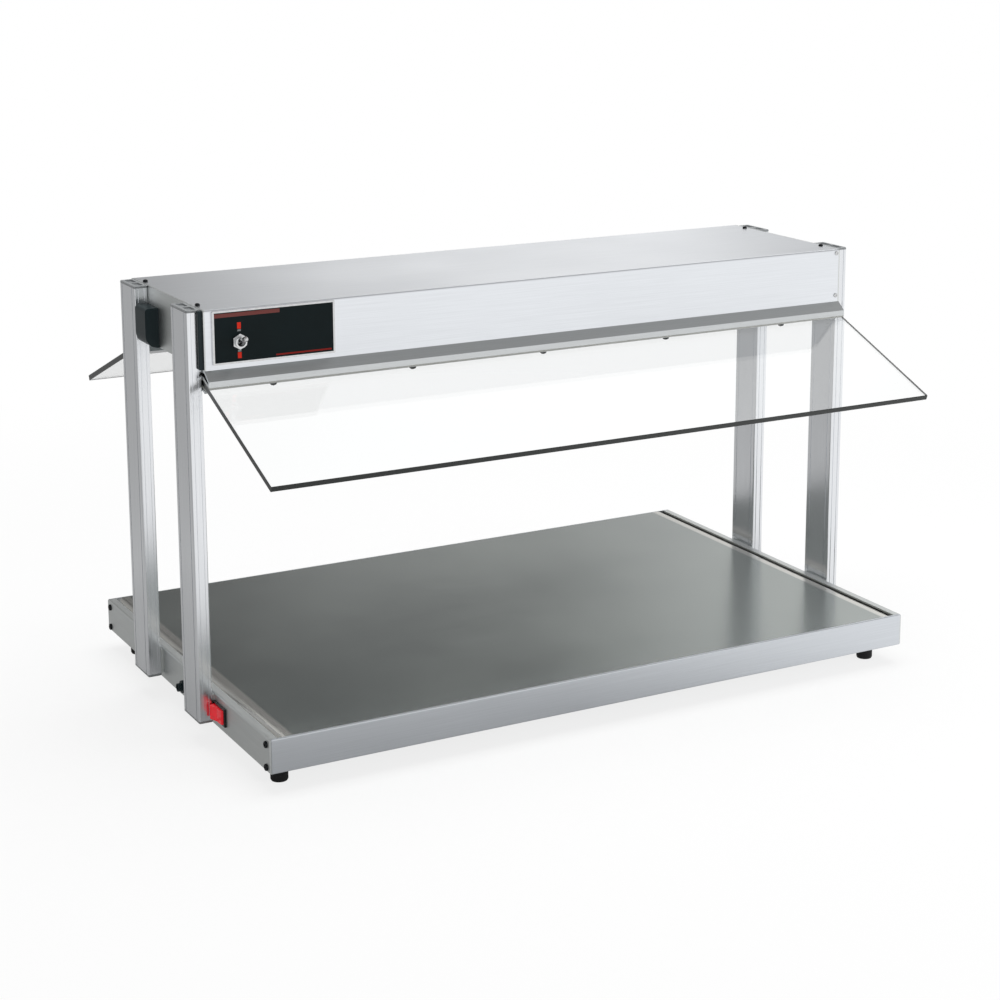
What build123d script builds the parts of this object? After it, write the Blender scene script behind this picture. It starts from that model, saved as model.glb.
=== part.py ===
from build123d import *
import os
from math import cos, radians, sin, tan

# A counter-top buffet warmer: a heated deck on four feet, four flat posts, an infrared hood
# over the deck and a sloping glass guard along the front and the rear of the hood.
# Millimetres. The origin is on the counter, midway between the feet. X runs along the front
# from left to right, Y from front to rear and Z upwards. The controls are at the left end.

# Overall sizes
hood_length = 777.0  # between the posts
base_depth = 491.0
serving_height = 339.0  # deck to the underside of the hood

# Base box
base_end_step = 3.0  # post's inner face to the base's end
base_height = 36.0
fascia_clearance = 22.0  # counter to the lower edge of the base
rail_wall = 2.5
rail_flange = 2.0
rail_edge_radius = 1.5
ledge_width = 9.0
bottom_flange_width = 18.0
end_plate_thickness = 2.0
end_flange_width = 9.0
end_foot_flange_width = 12.0
end_plate_setback = 1.0  # the rail's wall stands this much proud of the end plate's edge
bend_radius = 2.0
port_setback = 7.0  # rail wall to the centre of a screw port
port_offset = 3.0  # flange face to the centre of a screw port
port_radius = 3.2
port_bore = 1.9
part_gap = 0.3  # between parts that are slid together
face_gap = 0.05  # between parts that lie on each other at an angle

# Deck, its heater and what is under it
deck_thickness = 2.5
deck_roll_radius = 8.5
deck_skirt = 0.5
deck_gap = 0.8
blanket_end_margin = 50.5  # base's end to the blanket
blanket_side_margin = 40.5  # base's front to the blanket
blanket_thickness = 1.5
blanket_corner = 20.0
insulation_bay = 100.0  # left free of insulation at the blanket's left end, for the wiring
insulation_edge = 4.0
thermostat_radius = 8.0
thermostat_height = 9.0
thermostat_inset = 95.5  # base's left end to the thermostat
thermostat_y = 60.0
thermostat_ear = 1.2
thermostat_tab = 7.0
tab_thickness = 0.8
tab_width = 6.0
pan_thickness = 1.2
pan_bead_radius = 6.0
pan_bead_depth = 3.0
pan_bead_spacing = 120.0
pan_bead_count = 3
block_length = 44.0
block_width = 18.0
block_height = 14.0
block_poles = 4
block_well_radius = 2.2
block_wire_radius = 1.6
block_groove_width = 1.0
block_groove_depth = 3.0
block_step_x = 30.0  # thermostat to the base's terminal block
block_step_y = 40.0
hood_block_inset = 60.0  # panel's left end to the hood's terminal block
hood_block_y = 20.0

# Feet
foot_end_inset = 23.5  # base's end to a foot's middle
foot_side_inset = 35.5  # base's front to a foot's middle
foot_radius = 9.0
foot_flange_radius = 11.0
foot_flange_height = 5.0
foot_recess_radius = 5.5
foot_recess_depth = 8.0
foot_toe = 0.8
foot_toe_height = 1.6
foot_shoulder = 2.0

# Posts
post_width = 45.0
post_thickness = 15.0
post_wall = 2.0
post_corner = 1.6
post_side_inset = 7.0  # hood's front to a post's outer side
post_lift = 5.0  # lower edge of the base to the lower end of a post
post_groove_width = 1.0
post_groove_depth = 0.6
post_face_groove = 15.5  # groove on a broad face, from the post's middle
post_edge_groove = 3.2  # groove on a narrow face, from the post's middle
cap_thickness = 2.5
cap_stem = 8.0
nut_plate_thickness = 4.0
nut_plate_height = 12.0
bolt_spread = 20.0
bolt_overrun = 1.0  # beyond the nut plate
spacer_inset = 2.0

# Hood
hood_depth = 214.0
hood_height = 61.0
hood_sheet = 1.2
hood_corner = 2.5
hood_lip = 14.0
cap_sheet = 1.5
cap_flange = 16.0
rib_width = 28.0
rim_screw_rise = 2.7  # lower side screws, further from the hood's edge than the upper ones
cover_back = 5.0  # bay cover's end to the lamp bracket
cover_lip_gap = 0.6

# Lamps
bay_length = 147.0  # wiring bay at the left end of the hood
lamp_right_inset = 18.0
bracket_sheet = 1.5
bracket_height = 46.0
bracket_drop = 6.0
reflector_sheet = 0.8
reflector_flange = 3.0
element_radius = 5.0
element_pin_radius = 2.0
element_pin_length = 10.0
element_height = 21.0
element_left_overhang = 7.0
element_right_overhang = 4.0
insulator_radius = 7.0
insulator_flange_radius = 9.5
insulator_flange = 4.0
insulator_nose = 1.0
guard_wire_radius = 1.5
guard_wire_drop = 1.8
guard_cross_radius = 1.2
guard_cross_wires = 9
guard_wire_overhang = 4.0

# Glass guards and their clamp channels
glass_tilt = 21.5  # degrees below level
glass_thickness = 6.0
glass_end_gap = 0.5  # hood's end to the glass
glass_reach = 166.8  # down the slope, outside the channel
glass_insert = 22.0  # down the slope, inside the channel
glass_edge = 0.6
gasket_thickness = 2.0
gasket_reach = 21.5  # upper leg, to the channel's outer face
gasket_foot = 11.0  # lower leg
channel_overhang = 11.0  # from the hood's front to the channel's outer face
channel_shoulder = 9.0  # from the hood's lower edge down to the outer corner
channel_wall = 2.5
channel_slant_share = 0.4  # shares of the wall that set the chamber's sloping corners
channel_floor_share = 0.8
channel_inset = 1.0  # channel top, inwards from the hood's lip
glass_drop = 17.2  # hood's lower edge to the glass at the channel's outer face
clamp_screw_count = 5
clamp_end_inset = 75.5  # hood's end to the first clamp screw
clamp_screw_radius = 2.4
clamp_head_radius = 4.0
clamp_head_height = 3.5
clamp_screw_gap = 2.0
jaw_overrun = 1.0
channel_screw_inset = 6.0  # hood's front to the screws in the lip

# Control panel and toggle switch
panel_inset = 8.5  # hood's left end to the panel
panel_length = 131.8
panel_height = 54.5
panel_rise = 1.75  # panel's middle above the hood's middle
panel_border = 2.0
panel_frame_thickness = 2.2
faceplate_thickness = 1.4
toggle_inset = 28.4  # panel's left end to the toggle
toggle_height = 27.0  # hood's lower edge to the lever's pivot
toggle_angle = 15.0  # lever to the level, either way
bushing_radius = 5.95
bushing_mouth = 4.4
bushing_length = 7.5
pivot_depth = 0.7  # pivot, inwards from the hood's front
lever_length = 23.0
lever_ball = 3.0
lever_root = 1.6
lever_tip = 2.8
lever_pin = 1.0
pin_clearance = 0.05
switch_width = 16.0
switch_height = 28.0
switch_depth = 22.0
switch_tab = 6.0
switch_well = 6.5
switch_corner = 1.0
lever_ball_gap = 0.4
lever_tail = 5.0
lever_pin_hole = 0.6  # beyond the sleeve's mouth
lever_pin_reach = 0.3
nut_flats = 14.0
nut_thickness = 2.5
housing_wall = 2.0
housing_depth = 31.0
housing_height = 44.0
housing_rise = 4.0
window_depth = 12.0
housing_gap = 1.5  # bolt heads of the left end to the control housing
strip_depth = 4.6  # housing's strip outside the left end cap, in front of the post
strip_side_inset = 2.0
strip_end_inset = 1.0
strip_edge = 0.8
lead_hole_radius = 4.0

# Rocker switch on the left end of the base
rocker_post_gap = 14.0  # front left post to the rocker's middle
rocker_height = 18.4  # lower edge of the base to the rocker's middle
rocker_length = 26.0
rocker_width = 14.5
rocker_angle = 10.0  # either way
rocker_pivot_depth = 1.0  # inside the end plate's face
rocker_valley = 1.6
rocker_pin = 1.5
rocker_pin_length = 1.4
bezel_border = 2.2
bezel_thickness = 2.4
bezel_edge = 0.8
rocker_pin_gap = 0.2
rocker_body_depth = 22.0
rocker_base = 5.0  # pivot to the rocker's flat back
rocker_tab = 7.0

# Supply gland on the left end of the base and wiring cover on the left end of the hood
gland_y = -5.0
gland_height = 11.5
gland_bore = 3.6
gland_radius = 5.0
gland_flange_radius = 6.8
gland_flange = 2.5
gland_nose = 7.0
gland_tail = 8.0
gland_nut_flats = 13.0
gland_nut_height = 3.0
gland_taper = 0.6
cover_width = 31.0
cover_height = 42.0
cover_round = 13.5
cover_edge = 4.0
cover_wall = 2.0

# Fasteners
end_screw_radius = 1.8
end_screw_head = 3.6
end_screw_head_height = 2.0
end_screw_length = 14.0
bolt_radius = 2.4
bolt_head_radius = 4.4
bolt_head_height = 2.8
screw_clearance = 0.25
head_bevel = 0.4  # share of a screw head's height
sheet_screw_radius = 1.5
sheet_screw_head = 2.6
sheet_screw_head_height = 2.0
sheet_screw_length = 6.0
top_screw_inset = 5.5
side_screw_inset = 4.5
foot_screw_radius = 2.0
foot_screw_head = 4.2
foot_screw_head_height = 3.0
foot_nut_flats = 7.0
foot_nut_height = 3.2
foot_screw_overrun = 1.5
pan_screw_reach = 27.0  # foot's middle to the nearest pan screw

# Places that follow from the sizes
front, rear = -1, 1
left, right = -1, 1
base_length = hood_length - 2 * base_end_step
deck_top = fascia_clearance + base_height
hood_bottom = deck_top + serving_height
hood_top = hood_bottom + hood_height
half_base = base_length / 2
half_depth = base_depth / 2
half_hood = hood_length / 2
hood_front = hood_depth / 2
flange_top = fascia_clearance + rail_flange
ledge_top = deck_top - deck_thickness
ledge_bottom = ledge_top - rail_flange
plate_inner = half_base - end_plate_thickness
rail_inner = half_depth - rail_wall
port_y = rail_inner - port_setback
port_low = flange_top + port_offset
port_high = ledge_bottom - port_offset
deck_half = half_base - end_flange_width - deck_gap
blanket_length = base_length - 2 * blanket_end_margin
blanket_depth = base_depth - 2 * blanket_side_margin
blanket_bottom = ledge_top - blanket_thickness
thermostat_x = -half_base + thermostat_inset
pan_top = flange_top + pan_thickness
pan_edge_y = port_y - port_radius - part_gap
pan_screw_y = (rail_inner - bottom_flange_width + pan_edge_y) / 2
foot_x = half_base - foot_end_inset
foot_y = half_depth - foot_side_inset
post_y = hood_front - post_side_inset - post_width / 2
post_bottom = fascia_clearance + post_lift
post_middle = half_hood + post_thickness / 2
base_bolt_z = fascia_clearance + base_height / 2
hood_bolt_z = hood_bottom + hood_height / 2
shell_half = half_hood - cap_sheet
lip_inner = hood_front - hood_lip
lip_top = hood_bottom + hood_sheet
roof_inner = hood_top - hood_sheet
wall_inner = hood_front - hood_sheet
bay_end = -half_hood + bay_length
bracket_left = bay_end + bracket_sheet
bracket_right = half_hood - lamp_right_inset
lamp_y = (lip_inner + rib_width / 2) / 2
reflector_radius = (lip_inner - rib_width / 2) / 2
element_z = lip_top + element_height
guard_wire_z = hood_bottom - guard_wire_drop
channel_outer = hood_front + channel_overhang
glass_length = hood_length - 2 * glass_end_gap
clamp_screw_pitch = (hood_length - 2 * clamp_end_inset) / (clamp_screw_count - 1)
clamp_screw_t = -glass_insert + gasket_foot / 2
channel_screw_y = hood_front - channel_screw_inset
jaw_bottom = -glass_thickness - gasket_thickness - face_gap - channel_wall
jaw_end = -glass_insert + gasket_foot + jaw_overrun
pocket_back = -glass_insert - gasket_thickness - face_gap
panel_left = -half_hood + panel_inset
window_outer = wall_inner - part_gap / 3 - cap_sheet - part_gap
window_inner = window_outer - window_depth
window_bottom = hood_bottom + housing_rise
window_top = window_bottom + housing_height
toggle_x = panel_left + toggle_inset
toggle_z = hood_bottom + toggle_height
pivot_y = -hood_front + pivot_depth
rocker_z = fascia_clearance + rocker_height
rocker_x = -half_base + rocker_pivot_depth
gland_z = fascia_clearance + gland_height
post_inner_side = post_y - post_width / 2
rocker_y = -post_y - post_width / 2 - rocker_post_gap


def block(x0, x1, y0, y1, z0, z1):
    """A box between two limits on each axis."""
    centre = Pos((x0 + x1) / 2, (y0 + y1) / 2, (z0 + z1) / 2)
    return centre * Box(abs(x1 - x0), abs(y1 - y0), abs(z1 - z0))


def patch(x0, x1, y0, y1):
    """A flat rectangle between two limits on each axis."""
    return Pos((x0 + x1) / 2, (y0 + y1) / 2) * Rectangle(abs(x1 - x0), abs(y1 - y0))


def bar(start, end, radius):
    """A round bar between two points."""
    run = Vector(*end) - Vector(*start)
    seat = Plane(origin=start, z_dir=run)
    return seat * Cylinder(radius, run.length, align=(Align.CENTER, Align.CENTER, Align.MIN))


def hexagon(start, end, flats):
    """A hexagonal bar between two points."""
    run = Vector(*end) - Vector(*start)
    seat = Plane(origin=start, z_dir=run)
    return extrude(seat * RegularPolygon(flats / 2, 6, major_radius=False), run.length)


def along_x(section, x0, x1):
    """Extrudes a section drawn as (Y, Z) from one X to another."""
    return Pos(x0, 0, 0) * extrude(Plane.YZ * section, x1 - x0)


def along_y(section, y0, y1):
    """Extrudes a section drawn as (X, Z) from one Y to another."""
    return Pos(0, y1, 0) * extrude(Plane.XZ * section, y1 - y0)


def along_z(section, z0, z1):
    """Extrudes a section drawn as (X, Y) from one Z to another."""
    return Pos(0, 0, z0) * extrude(Plane.XY * section, z1 - z0)


def to_front(shape):
    """The front counterpart of a piece that was drawn at the rear."""
    return mirror(shape, about=Plane.XZ)


def screw(seat, way, radius, length, head_radius, head_height):
    """A screw whose head's underside lies at seat and whose shank runs the given way."""
    seat = Vector(*seat)
    way = Vector(*way)
    shank = bar(seat, (seat + way * length), radius)
    head = bar(seat, (seat - way * head_height), head_radius)
    crown = head.edges().sort_by(lambda edge: edge.center().dot(way))[0]
    return shank + chamfer(crown, head_height * head_bevel)


def save(shape, node):
    """Writes one node; a list of solids becomes a group."""
    if isinstance(shape, list):
        solids = [solid for piece in shape for solid in piece.solids()]
    else:
        solids = shape.solids()
    whole = solids[0] if len(solids) == 1 else Compound(children=solids)
    export_step(whole, f"parts/{node}.step")


# Where the posts, the base screws and the hood screws stand
post_places = [(end, side) for end in (left, right) for side in (front, rear)]
hood_pair = [-bolt_spread / 2, bolt_spread / 2]
clamp_places = [
    (index - (clamp_screw_count - 1) / 2) * clamp_screw_pitch for index in range(clamp_screw_count)
]


def rail():
    """Rear rail of the base: an extruded fascia with a deck ledge, a foot flange and screw ports."""
    fascia = patch(rail_inner, half_depth, fascia_clearance, deck_top)
    outer_corners = fascia.vertices().group_by(Axis.X)[-1]
    section = fillet(outer_corners, rail_edge_radius)
    section += patch(rail_inner - bottom_flange_width, rail_inner, fascia_clearance, flange_top)
    for port_z in (port_low, port_high):
        section += Pos(port_y, port_z) * Circle(port_radius)
    ledge = patch(rail_inner - ledge_width, rail_inner, ledge_bottom, ledge_top)
    body = along_x(section, -plate_inner, plate_inner)
    ledge_half = deck_half - deck_roll_radius - housing_gap
    body += along_x(ledge, -ledge_half, ledge_half)
    for port_z in (port_low, port_high):
        body -= bar((-half_base, port_y, port_z), (half_base, port_y, port_z), port_bore)
    for x in pan_screw_places():
        body -= bar(
            (x, pan_screw_y, fascia_clearance - 1),
            (x, pan_screw_y, flange_top + 1),
            sheet_screw_radius + screw_clearance,
        )
    return body


def pan_screw_places():
    """Places along the rails of the screws that hold the bottom pan."""
    reach = foot_x - pan_screw_reach
    return [-reach, 0, reach]


def end_plate():
    """Right end plate of the base: a sheet with a deck flange above and a foot flange below."""
    tall = patch(half_base - end_foot_flange_width, half_base, fascia_clearance, deck_top)
    tall = fillet(tall.vertices().group_by(Axis.X)[-1], bend_radius)
    hollow = patch(
        half_base - 2 * end_foot_flange_width,
        plate_inner,
        fascia_clearance + end_plate_thickness,
        deck_top - end_plate_thickness,
    )
    channel = tall - hollow
    upper_cut = patch(0, half_base - end_flange_width, base_bolt_z, deck_top + 1)
    lower_cut = patch(0, plate_inner, 0, base_bolt_z)
    face_cut = patch(0, plate_inner, 0, 2 * deck_top)
    foot_reach = rail_inner - bottom_flange_width - part_gap
    deck_reach = rail_inner - part_gap
    face_reach = half_depth - end_plate_setback
    plate = along_y(channel - upper_cut, -foot_reach, foot_reach)
    plate += along_y(channel - upper_cut - lower_cut, -deck_reach, deck_reach)
    plate += along_y(channel - face_cut, -face_reach, face_reach)
    for side in (front, rear):
        for port_z in (port_low, port_high):
            plate -= bar(
                (plate_inner - 1, side * port_y, port_z),
                (half_base + 1, side * port_y, port_z),
                end_screw_radius + screw_clearance,
            )
        for spread in hood_pair:
            y = side * post_y + spread
            plate -= bar(
                (plate_inner - 1, y, base_bolt_z),
                (half_base + 1, y, base_bolt_z),
                bolt_radius + screw_clearance,
            )
    return plate


def left_end_plate():
    """Left end plate: as the right one, with the cut-outs for the rocker and the supply gland."""
    plate = mirror(end_plate(), about=Plane.YZ)
    half_y = rocker_length / 2 + housing_wall + part_gap
    half_z = rocker_width / 2 + housing_wall + part_gap
    plate -= block(
        -half_base - 1, -plate_inner + 1,
        rocker_y - half_y, rocker_y + half_y,
        rocker_z - half_z, rocker_z + half_z,
    )
    plate -= bar(
        (-half_base - 1, gland_y, gland_z),
        (-plate_inner + 1, gland_y, gland_z),
        gland_radius + part_gap,
    )
    return plate


def end_screws():
    """Four dark screws in each end plate, driven into the ports of the rails."""
    screws = []
    for end, side in post_places:
        for port_z in (port_low, port_high):
            seat = (end * half_base, side * port_y, port_z)
            screws.append(
                screw(seat, (-end, 0, 0), end_screw_radius, end_screw_length,
                      end_screw_head, end_screw_head_height)
            )
    return screws


def deck():
    """Deck plate: flat, with its left and right edges rolled down inside the end plates."""
    skirt_bottom = deck_top - deck_roll_radius - deck_skirt
    outer = patch(-deck_half, deck_half, skirt_bottom, deck_top)
    outer = fillet(outer.vertices().group_by(Axis.Y)[-1], deck_roll_radius)
    inner_half = deck_half - deck_thickness
    inner = patch(-inner_half, inner_half, skirt_bottom - 1, ledge_top)
    inner_corners = inner.vertices().group_by(Axis.Y)[-1]
    inner = fillet(inner_corners, deck_roll_radius - deck_thickness)
    reach = rail_inner - part_gap
    plate = along_y(outer - inner, -reach, reach)
    notch_y = port_y - port_radius - part_gap
    notch_top = port_high + port_radius + part_gap
    for end, side in post_places:
        plate -= block(
            end * (deck_half - deck_roll_radius), end * half_base,
            side * notch_y, side * half_depth,
            0, notch_top,
        )
    half_y = rocker_length / 2 + housing_wall + part_gap
    rocker_top = rocker_z + rocker_width / 2 + housing_wall + part_gap
    plate -= block(-half_base, -half_base + rocker_body_depth + part_gap,
                   rocker_y - half_y, rocker_y + half_y, 0, rocker_top)
    return plate


def heater_blanket():
    """Silicone heater blanket bonded to the underside of the deck, with its lead pad."""
    outline = RectangleRounded(blanket_length, blanket_depth, blanket_corner)
    blanket = along_z(outline, blanket_bottom, ledge_top)
    pad = Pos(-blanket_length / 2 + block_length, 0) * Rectangle(block_length, block_width)
    return blanket + along_z(pad, blanket_bottom - 2 * blanket_thickness, blanket_bottom)


def insulation():
    """Fibre batt between the bottom pan and the heater blanket."""
    right_edge = blanket_length / 2 - insulation_edge
    left_edge = -blanket_length / 2 + insulation_bay
    middle = (left_edge + right_edge) / 2
    length = right_edge - left_edge
    depth = blanket_depth - 2 * insulation_edge
    outline = Pos(middle, 0) * RectangleRounded(length, depth, blanket_corner)
    return along_z(outline, pan_top, blanket_bottom)


def bottom_pan():
    """Bottom pan: a sheet that lies on the flanges, stiffened by long pressed beads."""
    pan_half = plate_inner - 2 * part_gap
    pan = block(-pan_half, pan_half, -pan_edge_y, pan_edge_y, flange_top, pan_top)
    bead_reach = foot_x - 3 * foot_flange_radius
    centre_z = flange_top + pan_bead_radius - pan_bead_depth
    for index in range(pan_bead_count):
        y = (index - (pan_bead_count - 1) / 2) * pan_bead_spacing
        ring = Pos(y, centre_z) * Circle(pan_bead_radius)
        ring -= Pos(y, centre_z) * Circle(pan_bead_radius - pan_thickness)
        ring -= patch(y - pan_bead_radius, y + pan_bead_radius, flange_top + pan_thickness / 2,
                      flange_top + 2 * pan_bead_radius)
        bore = Pos(y, centre_z) * Circle(pan_bead_radius - pan_thickness)
        pan -= along_x(bore, -bead_reach, bead_reach)
        pan += along_x(ring, -bead_reach, bead_reach)
        plug = Pos(y, centre_z) * Circle(pan_bead_radius)
        plug -= patch(y - pan_bead_radius, y + pan_bead_radius, flange_top + pan_thickness / 2,
                      flange_top + 2 * pan_bead_radius)
        for end in (left, right):
            pan += along_x(plug, end * bead_reach, end * (bead_reach + pan_thickness))
    for x, y in [(end * foot_x, side * foot_y) for end, side in post_places]:
        pan -= bar((x, y, 0), (x, y, deck_top), foot_screw_radius + screw_clearance)
    for x in pan_screw_places():
        for side in (front, rear):
            y = side * pan_screw_y
            pan -= bar((x, y, 0), (x, y, deck_top), sheet_screw_radius + screw_clearance)
    return pan


def pan_screws():
    """Screws up through the rail flanges into the bottom pan."""
    return [
        screw((x, side * pan_screw_y, fascia_clearance), (0, 0, 1), sheet_screw_radius,
              sheet_screw_length, sheet_screw_head, sheet_screw_head_height)
        for x in pan_screw_places()
        for side in (front, rear)
    ]


def foot():
    """Round rubber foot with a stepped bore for its screw."""
    with BuildPart() as body:
        with BuildSketch(Plane.XZ):
            with BuildLine():
                Polyline(
                    (foot_recess_radius, 0),
                    (foot_radius - foot_toe, 0),
                    (foot_radius, foot_toe_height),
                    (foot_radius, flange_top - foot_flange_height - foot_shoulder),
                    (foot_flange_radius, flange_top - foot_flange_height),
                    (foot_flange_radius, flange_top),
                    (foot_screw_radius + screw_clearance, flange_top),
                    (foot_screw_radius + screw_clearance, foot_recess_depth),
                    (foot_recess_radius, foot_recess_depth),
                    close=True,
                )
            make_face()
        revolve(axis=Axis.Z)
    return body.part


def foot_screw():
    """Screw up through the foot's recess and the bottom pan."""
    length = pan_top + foot_nut_height + foot_screw_overrun - foot_recess_depth
    return screw((0, 0, foot_recess_depth), (0, 0, 1), foot_screw_radius, length,
                 foot_screw_head, foot_screw_head_height)


def foot_nut():
    """Nut of a foot's screw, on top of the bottom pan."""
    nut = hexagon((0, 0, pan_top), (0, 0, pan_top + foot_nut_height), foot_nut_flats)
    return nut - bar((0, 0, 0), (0, 0, deck_top), foot_screw_radius + pin_clearance)


def at_feet(piece):
    """The same piece at each of the four feet."""
    return [Pos(end * foot_x, side * foot_y, 0) * piece for end, side in post_places]


def thermostat():
    """Disc thermostat pressed against the heater blanket by its bracket's feet."""
    x, y = thermostat_x, thermostat_y
    top = blanket_bottom
    disc = bar((x, y, top - thermostat_height), (x, y, top), thermostat_radius)
    ears = along_z(
        Pos(x, y) * SlotOverall(4 * thermostat_radius, thermostat_radius),
        top - thermostat_ear, top,
    )
    body = disc + ears
    for step in (-1, 1):
        tab_x = x + step * thermostat_radius / 2
        body += block(tab_x - tab_thickness / 2, tab_x + tab_thickness / 2,
                      y - tab_width / 2, y + tab_width / 2,
                      top - thermostat_height - thermostat_tab, top - thermostat_height)
    return body


def terminal_block(x, y, z):
    """Moulded terminal block: a row of poles with screw wells and wire holes."""
    body = block(x - block_length / 2, x + block_length / 2,
                 y - block_width / 2, y + block_width / 2, z, z + block_height)
    pitch = block_length / block_poles
    for index in range(block_poles):
        pole_x = x - block_length / 2 + (index + 0.5) * pitch
        for step in (-1, 1):
            well_y = y + step * block_width / 4
            body -= bar((pole_x, well_y, z + block_height / 2),
                        (pole_x, well_y, z + block_height + 1), block_well_radius)
        body -= bar((pole_x, y - block_width, z + block_height / 3),
                    (pole_x, y + block_width, z + block_height / 3), block_wire_radius)
    for index in range(1, block_poles):
        groove_x = x - block_length / 2 + index * pitch
        body -= block(groove_x - block_groove_width / 2, groove_x + block_groove_width / 2,
                      y - block_width, y + block_width,
                      z + block_height - block_groove_depth, z + block_height + 1)
    return body


def post_section():
    """Section of a post: a flat tube with rounded corners and fine grooves near its edges."""
    section = RectangleRounded(post_thickness, post_width, post_corner)
    section -= Rectangle(post_thickness - 2 * post_wall, post_width - 2 * post_wall)
    for step in (-1, 1):
        for face in (-1, 1):
            broad = Pos(face * post_thickness / 2, step * post_face_groove)
            section -= broad * Rectangle(2 * post_groove_depth, post_groove_width)
            narrow = Pos(step * post_edge_groove, face * post_width / 2)
            section -= narrow * Rectangle(post_groove_width, 2 * post_groove_depth)
    return section


def post(end, side):
    """One post, with the bolt holes of its inner wall."""
    place = Pos(end * post_middle, side * post_y)
    body = along_z(place * post_section(), post_bottom + cap_thickness, hood_top - cap_thickness)
    for z in (base_bolt_z, hood_bolt_z):
        for spread in hood_pair:
            y = side * post_y + spread
            body -= bar((end * (half_hood - 1), y, z),
                        (end * (half_hood + post_wall + 1), y, z), bolt_radius + screw_clearance)
    return body


def rear_left_post():
    """Rear left post: as the others, with the hole where the hood's leads come out."""
    x = -post_middle
    z = hood_bottom + cover_height / 2
    hole = bar((x, post_inner_side - 1, z), (x, post_inner_side + post_wall + 1, z),
               lead_hole_radius)
    return post(left, rear) - hole


def post_caps():
    """Plastic plugs in the upper and the lower end of each post."""
    top = hood_top - cap_thickness
    outline = RectangleRounded(post_thickness, post_width, post_corner)
    stem = Rectangle(
        post_thickness - 2 * post_wall - part_gap, post_width - 2 * post_wall - part_gap
    )
    cap = along_z(outline, top, hood_top) + along_z(stem, top - cap_stem, top)
    foot_end = post_bottom + cap_thickness
    plug = along_z(outline, post_bottom, foot_end)
    plug += along_z(stem, foot_end, foot_end + cap_thickness)
    return [
        Pos(end * post_middle, side * post_y, 0) * piece
        for end, side in post_places
        for piece in (cap, plug)
    ]


def post_spacers():
    """Pads that fill the step between the base's ends and the posts."""
    pads = []
    for end, side in post_places:
        y = side * post_y
        pad = block(
            end * half_base, end * half_hood,
            y - post_width / 2 + spacer_inset, y + post_width / 2 - spacer_inset,
            post_bottom + spacer_inset, deck_top - spacer_inset,
        )
        for spread in hood_pair:
            pad -= bar((0, y + spread, base_bolt_z), (end * base_length, y + spread, base_bolt_z),
                       bolt_radius + screw_clearance)
        pads.append(pad)
    return pads


def post_bolts():
    """Bolts from inside the base and the hood into the nut plates of the posts."""
    tip = half_hood + post_wall + nut_plate_thickness + bolt_overrun
    bolts = []
    for end, side in post_places:
        for spread in hood_pair:
            y = side * post_y + spread
            for seat_x, z in ((plate_inner, base_bolt_z), (shell_half, hood_bolt_z)):
                bolts.append(
                    screw((end * seat_x, y, z), (end, 0, 0), bolt_radius, tip - seat_x,
                          bolt_head_radius, bolt_head_height)
                )
    return bolts


def nut_plates():
    """Tapped plates inside the posts, behind each pair of bolts."""
    plates = []
    inner = half_hood + post_wall
    reach = post_width / 2 - post_wall - part_gap
    for end, side in post_places:
        for z in (base_bolt_z, hood_bolt_z):
            y = side * post_y
            plate = block(end * inner, end * (inner + nut_plate_thickness), y - reach, y + reach,
                          z - nut_plate_height / 2, z + nut_plate_height / 2)
            for spread in hood_pair:
                plate -= bar((0, y + spread, z), (end * base_length, y + spread, z),
                             bolt_radius + pin_clearance)
            plates.append(plate)
    return plates


def hood_outline():
    """Outer section of the hood."""
    outline = patch(-hood_front, hood_front, hood_bottom, hood_top)
    return fillet(outline.vertices().group_by(Axis.Y)[-1], hood_corner)


def hood_shell():
    """Hood: one sheet formed into a roof, two walls and two return lips."""
    inner = patch(-wall_inner, wall_inner, lip_top, roof_inner)
    inner = fillet(inner.vertices().group_by(Axis.Y)[-1], hood_corner - hood_sheet)
    section = hood_outline() - inner
    section -= patch(-lip_inner, lip_inner, hood_bottom - 1, lip_top + 1)
    shell = along_x(section, -shell_half, shell_half)
    hole = sheet_screw_radius + screw_clearance
    for end, side in post_places:
        x = end * (half_hood - top_screw_inset)
        shell -= bar((x, side * post_y, roof_inner - 1), (x, side * post_y, hood_top + 1), hole)
    for end, side, z in side_screw_places():
        x = end * (half_hood - side_screw_inset)
        shell -= bar((x, side * (wall_inner - 1), z), (x, side * (hood_front + 1), z), hole)
    for x in clamp_places:
        for side in (front, rear):
            y = side * channel_screw_y
            shell -= bar((x, y, hood_bottom - 1), (x, y, lip_top + 1), hole)
    shell -= bar((toggle_x, -hood_front - 1, toggle_z), (toggle_x, -wall_inner + 1, toggle_z),
                 bushing_radius + part_gap)
    return shell


def side_screw_places():
    """End, side and height of the screws in the hood's walls; the panel's corner has none."""
    corners = [(right, front), (left, rear), (right, rear)]
    heights = (hood_bottom + side_screw_inset + rim_screw_rise, hood_top - side_screw_inset)
    return [(end, side, z) for end, side in corners for z in heights]


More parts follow.
